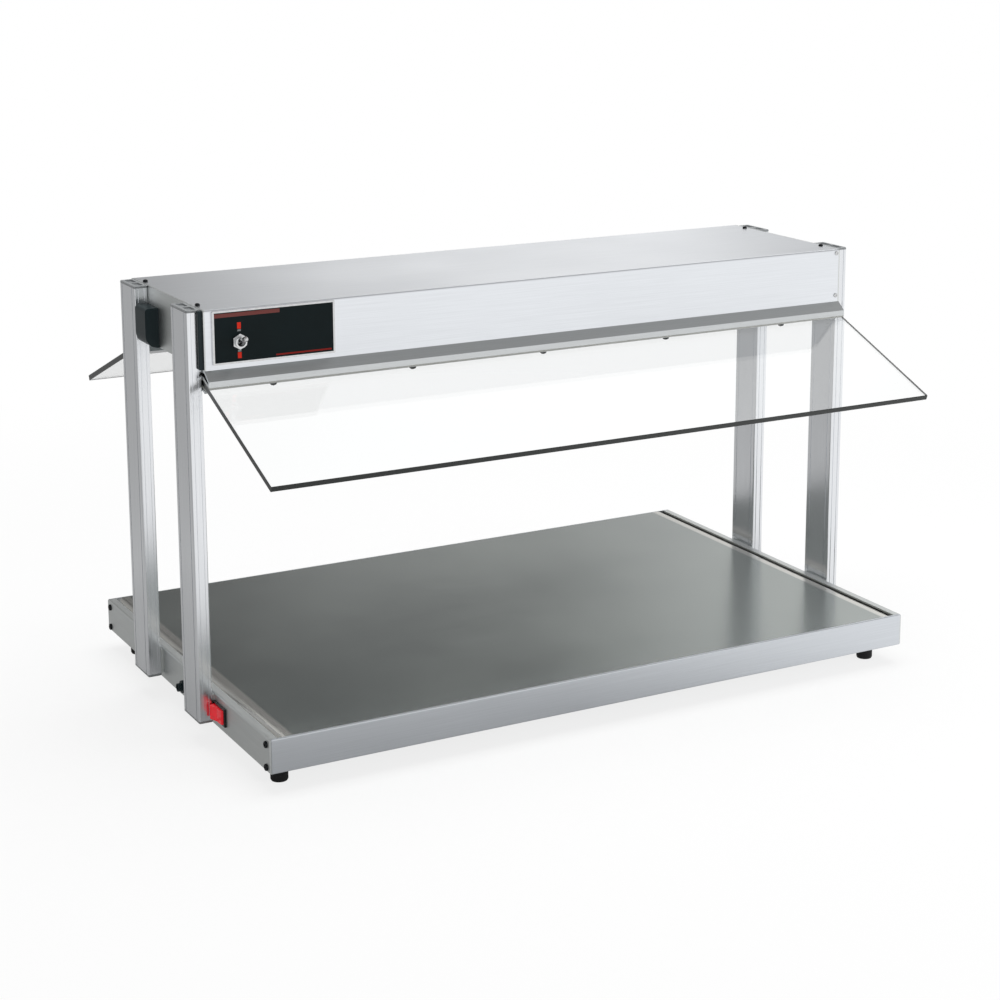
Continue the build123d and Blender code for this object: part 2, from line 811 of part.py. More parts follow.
def end_cap():
    """Right end cap of the hood: a flat face with a flange inside the roof and the walls."""
    cap = along_x(hood_outline(), shell_half, half_hood)
    outer_y = wall_inner - part_gap / 3
    outer_z = roof_inner - part_gap / 3
    flange = block(shell_half - cap_flange, shell_half, -outer_y, outer_y,
                   lip_top + part_gap, outer_z)
    flange = fillet(flange.edges().filter_by(Axis.X).group_by(Axis.Z)[-1], hood_corner)
    flange -= block(shell_half - cap_flange - 1, shell_half, -outer_y + cap_sheet,
                    outer_y - cap_sheet, hood_bottom, outer_z - cap_sheet)
    cap += flange
    hole = sheet_screw_radius + pin_clearance
    for side in (front, rear):
        x = half_hood - top_screw_inset
        cap -= bar((x, side * post_y, roof_inner - 8), (x, side * post_y, hood_top), hole)
        for spread in hood_pair:
            y = side * post_y + spread
            cap -= bar((shell_half - 1, y, hood_bolt_z), (half_hood + 1, y, hood_bolt_z),
                       bolt_radius + screw_clearance)
        for z in (hood_bottom + side_screw_inset + rim_screw_rise, hood_top - side_screw_inset):
            x = half_hood - side_screw_inset
            cap -= bar((x, side * (wall_inner - 8), z), (x, side * hood_front, z), hole)
    return cap


def left_end_cap():
    """Left end cap: with the window of the control housing and the leads' hole."""
    cap = mirror(end_cap(), about=Plane.YZ)
    cap -= block(-half_hood - 1, -shell_half + face_gap, -window_outer, -window_inner,
                 window_bottom, window_top)
    z = hood_bottom + cover_height / 2
    y = post_inner_side - cover_width / 2
    return cap - bar((-half_hood - 1, y, z), (-shell_half + 1, y, z), lead_hole_radius)


def hood_top_screws():
    """Small screws through the roof into the end caps, beside the posts."""
    return [
        screw((end * (half_hood - top_screw_inset), side * post_y, hood_top), (0, 0, -1),
              sheet_screw_radius, sheet_screw_length, sheet_screw_head, sheet_screw_head_height)
        for end, side in post_places
    ]


def hood_side_screws():
    """Small screws through the hood's walls into the end caps."""
    return [
        screw((end * (half_hood - side_screw_inset), side * hood_front, z), (0, -side, 0),
              sheet_screw_radius, sheet_screw_length, sheet_screw_head, sheet_screw_head_height / 2)
        for end, side, z in side_screw_places()
    ]


def centre_rail():
    """Rail along the middle of the hood: a foot between the lamps and a web up to the roof."""
    foot_half = shell_half - part_gap
    rail_foot = block(-foot_half, foot_half, -rib_width / 2, rib_width / 2, hood_bottom, lip_top)
    web = block(bay_end, foot_half - cap_flange, -hood_sheet / 2, hood_sheet / 2,
                lip_top, roof_inner - part_gap / 3)
    return rail_foot + web


def lamp_bracket(x):
    """Plate across the hood that carries the ends of both lamps and of both wire guards."""
    reach = lip_inner - part_gap
    bottom = hood_bottom - bracket_drop
    plate = block(x - bracket_sheet, x, -reach, reach, lip_top + part_gap,
                  bottom + bracket_height)
    tongue = lamp_y + guard_long_wires()[-1] + 2 * guard_wire_radius
    plate += block(x - bracket_sheet, x, -tongue, tongue, bottom, lip_top + part_gap)
    slot = rib_width / 2 + part_gap
    plate -= block(x - 5, x + 5, -slot, slot, hood_bottom - part_gap, lip_top + part_gap)
    plate -= block(x - 5, x + 5, -hood_sheet, hood_sheet, lip_top, roof_inner)
    for side in (front, rear):
        y = side * lamp_y
        plate -= bar((x - 5, y, element_z), (x + 5, y, element_z), insulator_radius + part_gap)
        for offset in guard_long_wires():
            plate -= bar((x - 5, y + offset, guard_wire_z), (x + 5, y + offset, guard_wire_z),
                         guard_wire_radius + part_gap / 2)
    return plate


def guard_long_wires():
    """Places of the long wires of a lamp's guard, from the lamp's middle."""
    reach = reflector_radius - 4 * guard_wire_radius
    return [-reach, 0, reach]


def reflector():
    """Rear reflector: a half-round polished trough on two narrow flanges."""
    centre = Pos(lamp_y, lip_top)
    outer = reflector_radius - part_gap
    section = centre * (Circle(outer) - Circle(outer - reflector_sheet))
    section -= patch(-hood_front, hood_front, 0, lip_top)
    for step in (-1, 1):
        edge = lamp_y + step * (outer - reflector_sheet / 2)
        section += patch(edge, edge + step * reflector_flange, lip_top, lip_top + reflector_sheet)
    x0 = bracket_left + part_gap
    x1 = bracket_right - bracket_sheet - part_gap
    return along_x(section, x0, x1)


def element():
    """Rear infrared element: a sheathed tube with a terminal pin at each end."""
    x0 = bay_end - element_left_overhang
    x1 = bracket_right + element_right_overhang
    tube = bar((x0, lamp_y, element_z), (x1, lamp_y, element_z), element_radius)
    pins = bar((x0 - element_pin_length, lamp_y, element_z),
               (x1 + element_pin_length / 2, lamp_y, element_z), element_pin_radius)
    return tube + pins


def insulators():
    """Ceramic bushes that carry the elements in the brackets."""
    bushes = []
    for outer_x, way in ((bay_end, -1), (bracket_right, 1)):
        for side in (front, rear):
            y = side * lamp_y
            inner_x = outer_x - way * (bracket_sheet + insulator_nose)
            bush = bar((outer_x, y, element_z), (outer_x + way * insulator_flange, y, element_z),
                       insulator_flange_radius)
            bush += bar((inner_x, y, element_z), (outer_x, y, element_z), insulator_radius)
            bush -= bar((inner_x - way, y, element_z),
                        (outer_x + way * (insulator_flange + 1), y, element_z),
                        element_radius + part_gap / 3)
            bushes.append(bush)
    return bushes


def lamp_guard():
    """Rear wire guard: long wires through the brackets and cross wires welded over them."""
    x0 = bay_end - guard_wire_overhang
    x1 = bracket_right + guard_wire_overhang
    wires = [
        bar((x0, lamp_y + offset, guard_wire_z), (x1, lamp_y + offset, guard_wire_z),
            guard_wire_radius)
        for offset in guard_long_wires()
    ]
    reach = guard_long_wires()[-1] + 2 * guard_wire_radius
    pitch = (bracket_right - bay_end) / (guard_cross_wires + 1)
    guard = wires[0] + wires[1] + wires[2]
    for index in range(guard_cross_wires):
        x = bay_end + (index + 1) * pitch
        guard += bar((x, lamp_y - reach, guard_wire_z), (x, lamp_y + reach, guard_wire_z),
                     guard_cross_radius)
    return guard


def bay_cover():
    """Sheet that closes the wiring bay from below, on the hood's lips."""
    reach = channel_screw_y - sheet_screw_head - cover_lip_gap
    return block(-shell_half + part_gap, bay_end - cover_back, -reach, reach,
                 lip_top, lip_top + hood_sheet)


def control_housing():
    """Black moulded box behind the panel. Its left end comes through the window of the end cap
    and ends in a strip that fills the corner in front of the post."""
    x0 = -shell_half + bolt_head_height + housing_gap
    x1 = panel_left + panel_length
    y0 = -window_outer
    y1 = y0 + housing_depth
    body = block(x0, x1, y0, y1, window_bottom, window_top)
    body -= block(x0 + housing_wall, x1 - housing_wall, y0 - 1, y1 - housing_wall,
                  window_bottom + housing_wall, window_top - housing_wall)
    nose = block(-half_hood + part_gap, x0, y0 + part_gap, -window_inner - part_gap,
                 window_bottom + part_gap, window_top - part_gap)
    strip_back = -post_y - post_width / 2 - part_gap
    strip = block(-half_hood - strip_depth, -half_hood, -hood_front + strip_side_inset, strip_back,
                  hood_bottom + strip_end_inset, hood_top - strip_end_inset)
    strip = fillet(strip.faces().sort_by(Axis.X)[0].edges(), strip_edge)
    neck = block(-half_hood - part_gap, x0, y0 + part_gap, strip_back,
                 window_bottom + part_gap, window_top - part_gap)
    return body + nose + neck + strip


def panel_place(y0, y1, inset):
    """A box over the panel's area, drawn in by an inset."""
    middle_z = hood_bottom + hood_height / 2 + panel_rise
    return block(panel_left + inset, panel_left + panel_length - inset, y0, y1,
                 middle_z - panel_height / 2 + inset, middle_z + panel_height / 2 - inset)


def control_frame():
    """Bright frame round the faceplate."""
    frame = panel_place(-hood_front - panel_frame_thickness, -hood_front, 0)
    frame = fillet(frame.edges().filter_by(Axis.Y), 1.0)
    frame -= panel_place(-hood_front - 10, -hood_front + 10, panel_border)
    return frame


def faceplate():
    """Black faceplate with the hole of the toggle's bushing."""
    plate = panel_place(-hood_front - faceplate_thickness, -hood_front, panel_border + part_gap / 2)
    return plate - bar((toggle_x, -hood_front - 5, toggle_z), (toggle_x, -hood_front + 5, toggle_z),
                       bushing_radius + part_gap)


def toggle_switch():
    """Toggle switch: a moulded body behind the hood's front and a sleeve through it."""
    back = -wall_inner
    body = block(toggle_x - switch_width / 2, toggle_x + switch_width / 2, back,
                 back + switch_depth, toggle_z - switch_height / 2, toggle_z + switch_height / 2)
    body = fillet(body.edges().filter_by(Axis.Y), switch_corner)
    mouth_y = -hood_front - bushing_length
    body += bar((toggle_x, back, toggle_z), (toggle_x, mouth_y, toggle_z), bushing_radius)
    for step in (-1, 0, 1):
        z = toggle_z + step * switch_height / 3
        body += block(toggle_x - tab_width / 2, toggle_x + tab_width / 2,
                      back + switch_depth, back + switch_depth + switch_tab,
                      z - tab_thickness / 2, z + tab_thickness / 2)
    mouth = Plane(origin=(toggle_x, mouth_y, toggle_z), z_dir=(0, 1, 0))
    throat = pivot_y - mouth_y
    inner = lever_ball + lever_ball_gap
    funnel = mouth * Cone(bushing_mouth, inner, throat,
                          align=(Align.CENTER, Align.CENTER, Align.MIN))
    well = bar((toggle_x, pivot_y, toggle_z), (toggle_x, pivot_y + switch_well, toggle_z), inner)
    reach = bushing_mouth + lever_pin_hole
    pin_hole = bar((toggle_x - reach, pivot_y, toggle_z), (toggle_x + reach, pivot_y, toggle_z),
                   lever_pin + pin_clearance)
    return body - funnel - well - pin_hole


def toggle_nut():
    """Hexagonal nut that holds the switch against the faceplate."""
    seat_y = -hood_front - faceplate_thickness
    nut = hexagon((toggle_x, seat_y, toggle_z), (toggle_x, seat_y - nut_thickness, toggle_z),
                  nut_flats)
    return nut - bar((toggle_x, -hood_front - 10, toggle_z), (toggle_x, -hood_front, toggle_z),
                     bushing_radius + pin_clearance)


def toggle_lever():
    """Bat lever on a ball with a cross pin, drawn level and then tilted up."""
    pivot = Vector(toggle_x, pivot_y, toggle_z)
    seat = Plane(origin=pivot, x_dir=(1, 0, 0), z_dir=(0, -1, 0))
    bat = seat * Cone(lever_root, lever_tip, lever_length - lever_tip,
                      align=(Align.CENTER, Align.CENTER, Align.MIN))
    tip = Vector(0, -lever_length + lever_tip, 0)
    lever = bat + Pos(*(pivot + tip)) * Sphere(lever_tip)
    lever += Pos(*pivot) * Sphere(lever_ball)
    lever += bar(pivot, (pivot + Vector(0, lever_tail, 0)), lever_root)
    reach = Vector(bushing_mouth + lever_pin_reach, 0, 0)
    lever += bar((pivot - reach), (pivot + reach), lever_pin)
    hinge = Axis(pivot, (1, 0, 0))
    return lever.rotate(hinge, -toggle_angle)


def rocker_housing():
    """Rocker's housing: a thin bezel outside and an open box through the end plate."""
    half_y = rocker_length / 2 + part_gap
    half_z = rocker_width / 2 + part_gap
    body = block(-half_base - bezel_thickness, -half_base,
                 rocker_y - half_y - bezel_border, rocker_y + half_y + bezel_border,
                 rocker_z - half_z - bezel_border, rocker_z + half_z + bezel_border)
    body = fillet(body.faces().sort_by(Axis.X)[0].edges(), bezel_edge)
    wall = housing_wall - part_gap
    body += block(-half_base, -half_base + rocker_body_depth,
                  rocker_y - half_y - wall, rocker_y + half_y + wall,
                  rocker_z - half_z - wall, rocker_z + half_z + wall)
    body -= block(-half_base - bezel_thickness - 1, -half_base + rocker_body_depth - wall,
                  rocker_y - half_y, rocker_y + half_y, rocker_z - half_z, rocker_z + half_z)
    reach = half_z + rocker_pin_length
    body -= bar((rocker_x, rocker_y, rocker_z - reach), (rocker_x, rocker_y, rocker_z + reach),
                rocker_pin + pin_clearance)
    back = -half_base + rocker_body_depth
    for step in (-1, 0, 1):
        y = rocker_y + step * rocker_length / 3
        body += block(back, back + rocker_tab, y - tab_thickness / 2, y + tab_thickness / 2,
                      rocker_z - tab_width / 2, rocker_z + tab_width / 2)
    return body


def rocker_button():
    """Rocker: two faces that meet in a valley, round ends about the pivot, and two stub pins."""
    half = rocker_length / 2
    face_x = -bezel_thickness - rocker_pivot_depth
    rise = half * tan(radians(rocker_angle))
    with BuildPart() as button:
        with BuildSketch(Plane.XY.offset(-rocker_width / 2)):
            with BuildLine():
                end_x = -(abs(face_x) + rise + rocker_valley)
                end_y = (half**2 - end_x**2) ** 0.5
                Line((face_x - rise, 0), (end_x, end_y))
                Line((face_x - rise, 0), (end_x, -end_y))
                back_y = (half**2 - rocker_base**2) ** 0.5
                ThreePointArc((end_x, end_y), (0, half), (rocker_base, back_y))
                ThreePointArc((end_x, -end_y), (0, -half), (rocker_base, -back_y))
                Line((rocker_base, back_y), (rocker_base, -back_y))
            make_face()
        extrude(amount=rocker_width)
    body = button.part
    reach = rocker_width / 2 + part_gap + rocker_pin_length - rocker_pin_gap
    body += bar((0, 0, -reach), (0, 0, reach), rocker_pin)
    body = Pos(rocker_x, rocker_y, rocker_z) * body
    return body.rotate(Axis((rocker_x, rocker_y, rocker_z), (0, 0, 1)), rocker_angle)


def supply_gland():
    """Black bush of the supply cord: a collar outside, a sleeve and an inner nut."""
    face = -half_base
    centre = (gland_y, gland_z)
    gland = bar((face, *centre), (face - gland_flange, *centre), gland_flange_radius)
    gland += bar((face - gland_flange, *centre), (face - gland_nose, *centre),
                 gland_radius - gland_taper)
    gland += bar((face, *centre), (face + gland_tail, *centre), gland_radius)
    gland += hexagon((-plate_inner, *centre), (-plate_inner + gland_nut_height, *centre),
                     gland_nut_flats)
    return gland - bar((face - gland_nose - 1, *centre), (face + gland_tail + 1, *centre),
                       gland_bore)


def wiring_cover():
    """Black moulded cover in the corner between the rear left post and the hood's end."""
    outer = -half_hood - post_thickness + part_gap
    rear_y = post_inner_side - part_gap
    front_y = post_inner_side - cover_width
    cover = block(outer, -half_hood, front_y, rear_y, hood_bottom, hood_bottom + cover_height)
    long_edges = cover.edges().filter_by(Axis.Y).group_by(Axis.X)[0].sort_by(Axis.Z)
    cover = fillet(long_edges[0], cover_round)
    long_edges = cover.edges().filter_by(Axis.Y).group_by(Axis.X)[0].sort_by(Axis.Z)
    cover = fillet(long_edges[-1], cover_edge)
    wall = cover_wall
    cover -= block(outer + 2 * wall, -half_hood + 1, front_y + wall, rear_y + 1,
                   hood_bottom + cover_round, hood_bottom + cover_height - 2 * wall)
    return cover


def glass_line(y):
    """Height of the glass's upper face at a distance from the hood's middle."""
    return hood_bottom - glass_drop + (channel_outer - y) * tan(radians(glass_tilt))


glass_frame = Plane(
    origin=(0, channel_outer, hood_bottom - glass_drop),
    x_dir=(0, cos(radians(glass_tilt)), -sin(radians(glass_tilt))),
    z_dir=(1, 0, 0),
)
# In the glass's frame the first axis runs down the slope and the second one up from the glass.


def along_glass(section, half_length):
    """Extrudes a section drawn in the glass's frame over the length of the guard."""
    return extrude(glass_frame * section, half_length, both=True)


def guard_glass():
    """Rear glass: a flat tempered plate with eased edges."""
    plate = along_glass(patch(-glass_insert, glass_reach, -glass_thickness, 0), glass_length / 2)
    return chamfer(plate.edges().filter_by(Axis.X), glass_edge)


def guard_gasket():
    """Rear gasket: a soft channel round the glass's inner edge."""
    top = gasket_thickness
    bottom = -glass_thickness - gasket_thickness
    back = -glass_insert - gasket_thickness
    outer = patch(back, -glass_insert + gasket_reach, -glass_thickness, top)
    outer += patch(back, -glass_insert + gasket_foot, bottom, -glass_thickness)
    slot = patch(-glass_insert - face_gap, 0, -glass_thickness - face_gap, face_gap)
    return along_glass(outer - slot, glass_length / 2)


def guard_channel():
    """Rear clamp channel: a hollow extrusion with a sloping shoulder and a pocket for the glass."""
    clear = gasket_thickness + face_gap
    rise = clear / cos(radians(glass_tilt))
    inner_y = lip_inner - channel_inset
    wall = channel_wall

    def roof_line(y):
        return glass_line(y) + rise

    outline = Polyline(
        (inner_y, hood_bottom),
        (hood_front, hood_bottom),
        (channel_outer, hood_bottom - channel_shoulder),
        (channel_outer, roof_line(channel_outer)),
        (inner_y, roof_line(inner_y)),
        close=True,
    )
    slant = wall * channel_slant_share
    floor = wall * channel_floor_share
    chamber = Polyline(
        (inner_y + wall, hood_bottom - wall),
        (hood_front - slant, hood_bottom - wall),
        (channel_outer - wall, hood_bottom - channel_shoulder - slant),
        (channel_outer - wall, roof_line(channel_outer - wall) + floor),
        (inner_y + wall, roof_line(inner_y + wall) + floor),
        close=True,
    )
    section = make_face(outline) - make_face(chamber)
    body = along_x(section, -half_hood, half_hood)
    jaw = patch(pocket_back - wall, jaw_end, jaw_bottom, jaw_bottom + wall)
    jaw += patch(pocket_back - wall, pocket_back, jaw_bottom, gasket_thickness + face_gap + wall / 2)
    body += along_glass(jaw, half_hood)
    seat = glass_frame.location
    for x in clamp_places:
        hole = Pos(x, 0, 0) * seat * Pos(clamp_screw_t, jaw_bottom + wall / 2, 0)
        body -= hole * Rot(90, 0, 0) * Cylinder(clamp_screw_radius + pin_clearance, 3 * wall)
        body -= bar((x, channel_screw_y, hood_bottom - wall - 1),
                    (x, channel_screw_y, hood_bottom + 1), sheet_screw_radius + pin_clearance)
    return body


def clamp_screws():
    """Five screws under each channel that press the gasket and the glass against it."""
    down = Vector(0, -sin(radians(glass_tilt)), -cos(radians(glass_tilt)))
    slope = Vector(0, cos(radians(glass_tilt)), -sin(radians(glass_tilt)))
    start = Vector(0, channel_outer, hood_bottom - glass_drop) + slope * clamp_screw_t
    length = channel_wall + clamp_screw_gap
    seat = start - down * (jaw_bottom - clamp_screw_gap)
    screws = []
    for x in clamp_places:
        place = seat + Vector(x, 0, 0)
        one = screw(place, (-down), clamp_screw_radius, length,
                    clamp_head_radius, clamp_head_height)
        screws += [one, to_front(one)]
    return screws


def channel_screws():
    """Screws from inside the hood's lips into the clamp channels."""
    return [
        screw((x, side * channel_screw_y, lip_top), (0, 0, -1), sheet_screw_radius,
              sheet_screw_length / 1.5, sheet_screw_head, sheet_screw_head_height)
        for x in clamp_places
        for side in (front, rear)
    ]


os.makedirs("parts", exist_ok=True)

rear_rail = rail()
save(to_front(rear_rail), "base_front_rail")
save(rear_rail, "base_rear_rail")
save(left_end_plate(), "base_left_end_plate")
save(end_plate(), "base_right_end_plate")
save(end_screws(), "base_end_screws")
save(deck(), "deck_plate")
save(heater_blanket(), "deck_heater_blanket")
save(insulation(), "deck_insulation")
save(bottom_pan(), "base_bottom_pan")
save(pan_screws(), "base_pan_screws")
save(thermostat(), "deck_thermostat")
save(terminal_block(thermostat_x - block_step_x, thermostat_y - block_step_y, pan_top),
     "base_terminal_block")
save(at_feet(foot()), "rubber_feet")
save(at_feet(foot_screw()), "foot_screws")
save(at_feet(foot_nut()), "foot_nuts")
save(supply_gland(), "supply_gland")
save(rocker_housing(), "rocker_housing")
save(rocker_button(), "rocker_button")

save(post(left, front), "post_front_left")
save(rear_left_post(), "post_rear_left")
save(post(right, front), "post_front_right")
save(post(right, rear), "post_rear_right")
save(post_caps(), "post_caps")
save(post_spacers(), "post_spacers")
save(post_bolts(), "post_bolts")
save(nut_plates(), "post_nut_plates")

save(hood_shell(), "hood_shell")
save(left_end_cap(), "hood_left_end_cap")
save(end_cap(), "hood_right_end_cap")
save(hood_top_screws(), "hood_top_screws")
save(hood_side_screws(), "hood_side_screws")
save(centre_rail(), "hood_centre_rail")
save(lamp_bracket(bracket_left), "lamp_left_bracket")
save(lamp_bracket(bracket_right), "lamp_right_bracket")
rear_reflector = reflector()
save(to_front(rear_reflector), "front_reflector")
save(rear_reflector, "rear_reflector")
rear_element = element()
save(to_front(rear_element), "front_infrared_element")
save(rear_element, "rear_infrared_element")
save(insulators(), "element_insulators")
rear_guard = lamp_guard()
save(to_front(rear_guard), "front_lamp_guard")
save(rear_guard, "rear_lamp_guard")
save(bay_cover(), "control_bay_cover")
save(terminal_block(panel_left + hood_block_inset, hood_block_y, lip_top + hood_sheet),
     "hood_terminal_block")
save(control_housing(), "control_housing")
save(control_frame(), "control_frame")
save(faceplate(), "control_faceplate")
save(toggle_switch(), "toggle_switch")
save(toggle_nut(), "toggle_nut")
save(toggle_lever(), "toggle_lever")
save(wiring_cover(), "wiring_cover")

rear_channel = guard_channel()
save(to_front(rear_channel), "front_guard_channel")
save(rear_channel, "rear_guard_channel")
rear_glass = guard_glass()
save(to_front(rear_glass), "front_guard_glass")
save(rear_glass, "rear_guard_glass")
rear_gasket = guard_gasket()
save(to_front(rear_gasket), "front_guard_gasket")
save(rear_gasket, "rear_guard_gasket")
save(clamp_screws(), "guard_clamp_screws")
save(channel_screws(), "guard_channel_screws")
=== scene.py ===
from math import cos, pi, radians, sin

import bmesh
import bpy
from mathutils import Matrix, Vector


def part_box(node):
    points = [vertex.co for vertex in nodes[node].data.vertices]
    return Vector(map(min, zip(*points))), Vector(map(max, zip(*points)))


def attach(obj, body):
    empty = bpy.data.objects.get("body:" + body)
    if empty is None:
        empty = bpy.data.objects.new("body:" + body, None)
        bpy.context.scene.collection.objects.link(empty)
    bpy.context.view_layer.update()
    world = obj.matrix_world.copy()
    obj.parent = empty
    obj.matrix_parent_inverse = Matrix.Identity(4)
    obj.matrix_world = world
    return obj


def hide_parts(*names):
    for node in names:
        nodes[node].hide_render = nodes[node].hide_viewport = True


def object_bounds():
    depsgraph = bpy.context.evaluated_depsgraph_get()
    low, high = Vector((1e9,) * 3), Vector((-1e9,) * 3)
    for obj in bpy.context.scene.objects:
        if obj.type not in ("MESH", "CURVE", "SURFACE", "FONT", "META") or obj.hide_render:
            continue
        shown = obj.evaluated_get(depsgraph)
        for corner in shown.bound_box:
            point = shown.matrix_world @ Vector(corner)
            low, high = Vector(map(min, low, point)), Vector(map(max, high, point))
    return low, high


# A counter-top buffet warmer: a heated deck between two end plates, four flat posts, an
# infrared hood across the top and a sloping glass guard along each long side. Metres.

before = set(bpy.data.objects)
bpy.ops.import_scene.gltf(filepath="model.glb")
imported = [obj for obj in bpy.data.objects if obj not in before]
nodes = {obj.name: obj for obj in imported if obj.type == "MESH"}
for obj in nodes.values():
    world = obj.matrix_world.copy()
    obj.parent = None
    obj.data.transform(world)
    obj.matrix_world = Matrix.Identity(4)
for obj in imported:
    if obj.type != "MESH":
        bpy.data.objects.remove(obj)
cad_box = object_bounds()
mm = 0.001


# Base rails
# The front and the rear fascia are aluminium extrusions, cut to length, satin anodised and
# screwed to the end plates through their ports. The die leaves fine lines along the length.
def linear(code):
    """Turns an sRGB hex colour into the linear one that the shaders take."""
    parts = [int(code[i:i + 2], 16) / 255 for i in (1, 3, 5)]
    return [c / 12.92 if c <= 0.04045 else ((c + 0.055) / 1.055) ** 2.4 for c in parts] + [1.0]


def add(tree, kind, inputs=None, **settings):
    """Adds a node: a socket given as an input is linked, and any other value is set. An input goes
    by its name, or by its number where the node has several of one name."""
    made = tree.nodes.new("ShaderNode" + kind)
    for name, value in settings.items():
        setattr(made, name, value)
    for name, value in (inputs or {}).items():
        if isinstance(value, bpy.types.NodeSocket):
            tree.links.new(value, made.inputs[name])
        else:
            made.inputs[name].default_value = value
    return made


def surface(name):
    """A new material with its tree, its Principled shader and its coordinates in metres."""
    material = bpy.data.materials.new(name)
    material.use_nodes = True
    tree = material.node_tree
    place = add(tree, "TexCoord").outputs["Object"]
    return material, tree, tree.nodes["Principled BSDF"], place


def finish_node(material, *names):
    """Gives CAD nodes their material."""
    for name in names:
        nodes[name].data.materials.clear()
        nodes[name].data.materials.append(material)


def satin_metal(name, colour, run, roughness=0.34):
    """Satin anodised or brushed metal. run is the axis of the die or brush lines, 0 to 2. The real
    lines are under 0.1 mm apart; they are drawn about 1 mm apart so that they show at all."""
    line_gap, line_length, cloud_size = 0.9 * mm, 81 * mm, 160 * mm
    uneven = 0.02  # how far the roughness strays to either side, cloud by cloud
    material, tree, shader, place = surface(name)
    stretch = [1 / line_gap] * 3
    stretch[run] = 1 / line_length
    spot = add(tree, "Mapping", {"Vector": place, "Scale": stretch})
    lines = add(tree, "TexNoise", {"Vector": spot.outputs[0], "Scale": 1.0, "Detail": 3.0})
    cloud = add(tree, "TexNoise", {"Vector": place, "Scale": 1 / cloud_size, "Detail": 2.0})
    tone = add(tree, "MapRange", {"Value": lines.outputs[0], "From Min": 0.3, "From Max": 0.7,
                                  "To Min": 0.95, "To Max": 1.02})
    dyed = add(tree, "Mix", {0: 1.0, 6: linear(colour), 7: tone.outputs[0]},
               data_type="RGBA", blend_type="MULTIPLY")
    rough = add(tree, "MapRange", {"Value": cloud.outputs[0], "From Min": 0.3, "From Max": 0.7,
                                   "To Min": roughness - uneven, "To Max": roughness + uneven})
    relief = add(tree, "Bump", {"Height": lines.outputs[0], "Strength": 0.06,
                                "Distance": 0.1 * mm})
    tree.links.new(dyed.outputs[2], shader.inputs["Base Color"])
    tree.links.new(rough.outputs[0], shader.inputs["Roughness"])
    tree.links.new(relief.outputs[0], shader.inputs["Normal"])
    shader.inputs["Metallic"].default_value = 1.0
    return material


fascia_metal = satin_metal("extruded aluminium, satin anodised, die lines along X", "#D3D7DC",
                           run=0)
finish_node(fascia_metal, "base_front_rail", "base_rear_rail")


# Base end plates
# Bent aluminium sheet, brushed from front to rear, with a flange over the deck's side and one
# under the base. The left one has the openings of the rocker and of the supply bush.
end_metal = satin_metal("aluminium sheet, brushed along Y", "#D2D5D4", run=1, roughness=0.42)
finish_node(end_metal, "base_left_end_plate", "base_right_end_plate")


# Base end screws
# Black oxide pan head screws with a hexagon socket, driven through the end plates into the
# ports of the rails. Oil on the oxide gives the heads a dull sheen.
def black_oxide():
    material, tree, shader, place = surface("steel, black oxide, oiled")
    grit = add(tree, "TexNoise", {"Vector": place, "Scale": 1 / (0.7 * mm), "Detail": 4.0})
    tone = add(tree, "ValToRGB", {0: grit.outputs[0]})
    tone.color_ramp.elements[0].color = linear("#141516")
    tone.color_ramp.elements[1].color = linear("#34373A")
    rough = add(tree, "MapRange", {"Value": grit.outputs[0], "To Min": 0.3, "To Max": 0.55})
    tree.links.new(tone.outputs[0], shader.inputs["Base Color"])
    tree.links.new(rough.outputs[0], shader.inputs["Roughness"])
    shader.inputs["Metallic"].default_value = 0.85
    return material


def circle(reach, z, count):
    return [(reach * cos(2 * pi * i / count), reach * sin(2 * pi * i / count), z)
            for i in range(count)]


def hexagon(flats, z, count):
    """A hexagon's outline, by its width over flats, with its points in step with a circle's."""
    points = []
    for i in range(count):
        turn = 2 * pi * i / count
        beside = (turn + pi / 6) % (pi / 3) - pi / 6
        reach = flats / 2 / cos(beside)
        points.append((reach * cos(turn), reach * sin(turn), z))
    return points


def join_rings(mesh, rings):
    for lower, upper in zip(rings, rings[1:]):
        for i in range(len(lower)):
            j = (i + 1) % len(lower)
            mesh.faces.new((lower[i], lower[j], upper[j], upper[i]))


def skin(mesh, start, way, rings):
    """Adds a closed form over rings of points, which stand across an axis from start along way."""
    turn = Vector(way).to_track_quat("Z", "Y").to_matrix().to_4x4()
    turn.translation = Vector(start)
    rings = [[mesh.verts.new(turn @ Vector(point)) for point in ring] for ring in rings]
    join_rings(mesh, rings)
    mesh.faces.new(rings[0][::-1])
    mesh.faces.new(rings[-1])


def screw_mesh(mesh, seat, way, radius, length, head, rise, flats, count=24):
    """Adds one screw: a domed head with a hexagon socket, and a plain shank to its tip."""
    socket_floor, socket_edge, socket_mouth = -rise * 0.35, -rise * 0.92, flats * 0.62
    dome, dome_foot = rise * 0.55, -rise * 0.45  # radius of the head's round edge, and its centre
    break_height, break_reach = -rise * 0.04, head * 0.97  # the broken edge against the seat
    tip = radius * 0.5
    dome_steps = 6
    rings = [hexagon(flats, socket_floor, count), hexagon(flats, socket_edge, count),
             circle(socket_mouth, -rise, count)]
    for step in range(dome_steps + 1):
        bend = pi / 2 * step / dome_steps
        rings.append(circle(head - dome + dome * sin(bend), dome_foot - dome * cos(bend), count))
    for reach, z in ((head, break_height), (break_reach, 0), (radius, 0), (radius, length - tip),
                     (tip, length)):
        rings.append(circle(reach, z, count))
    skin(mesh, seat, way, rings)


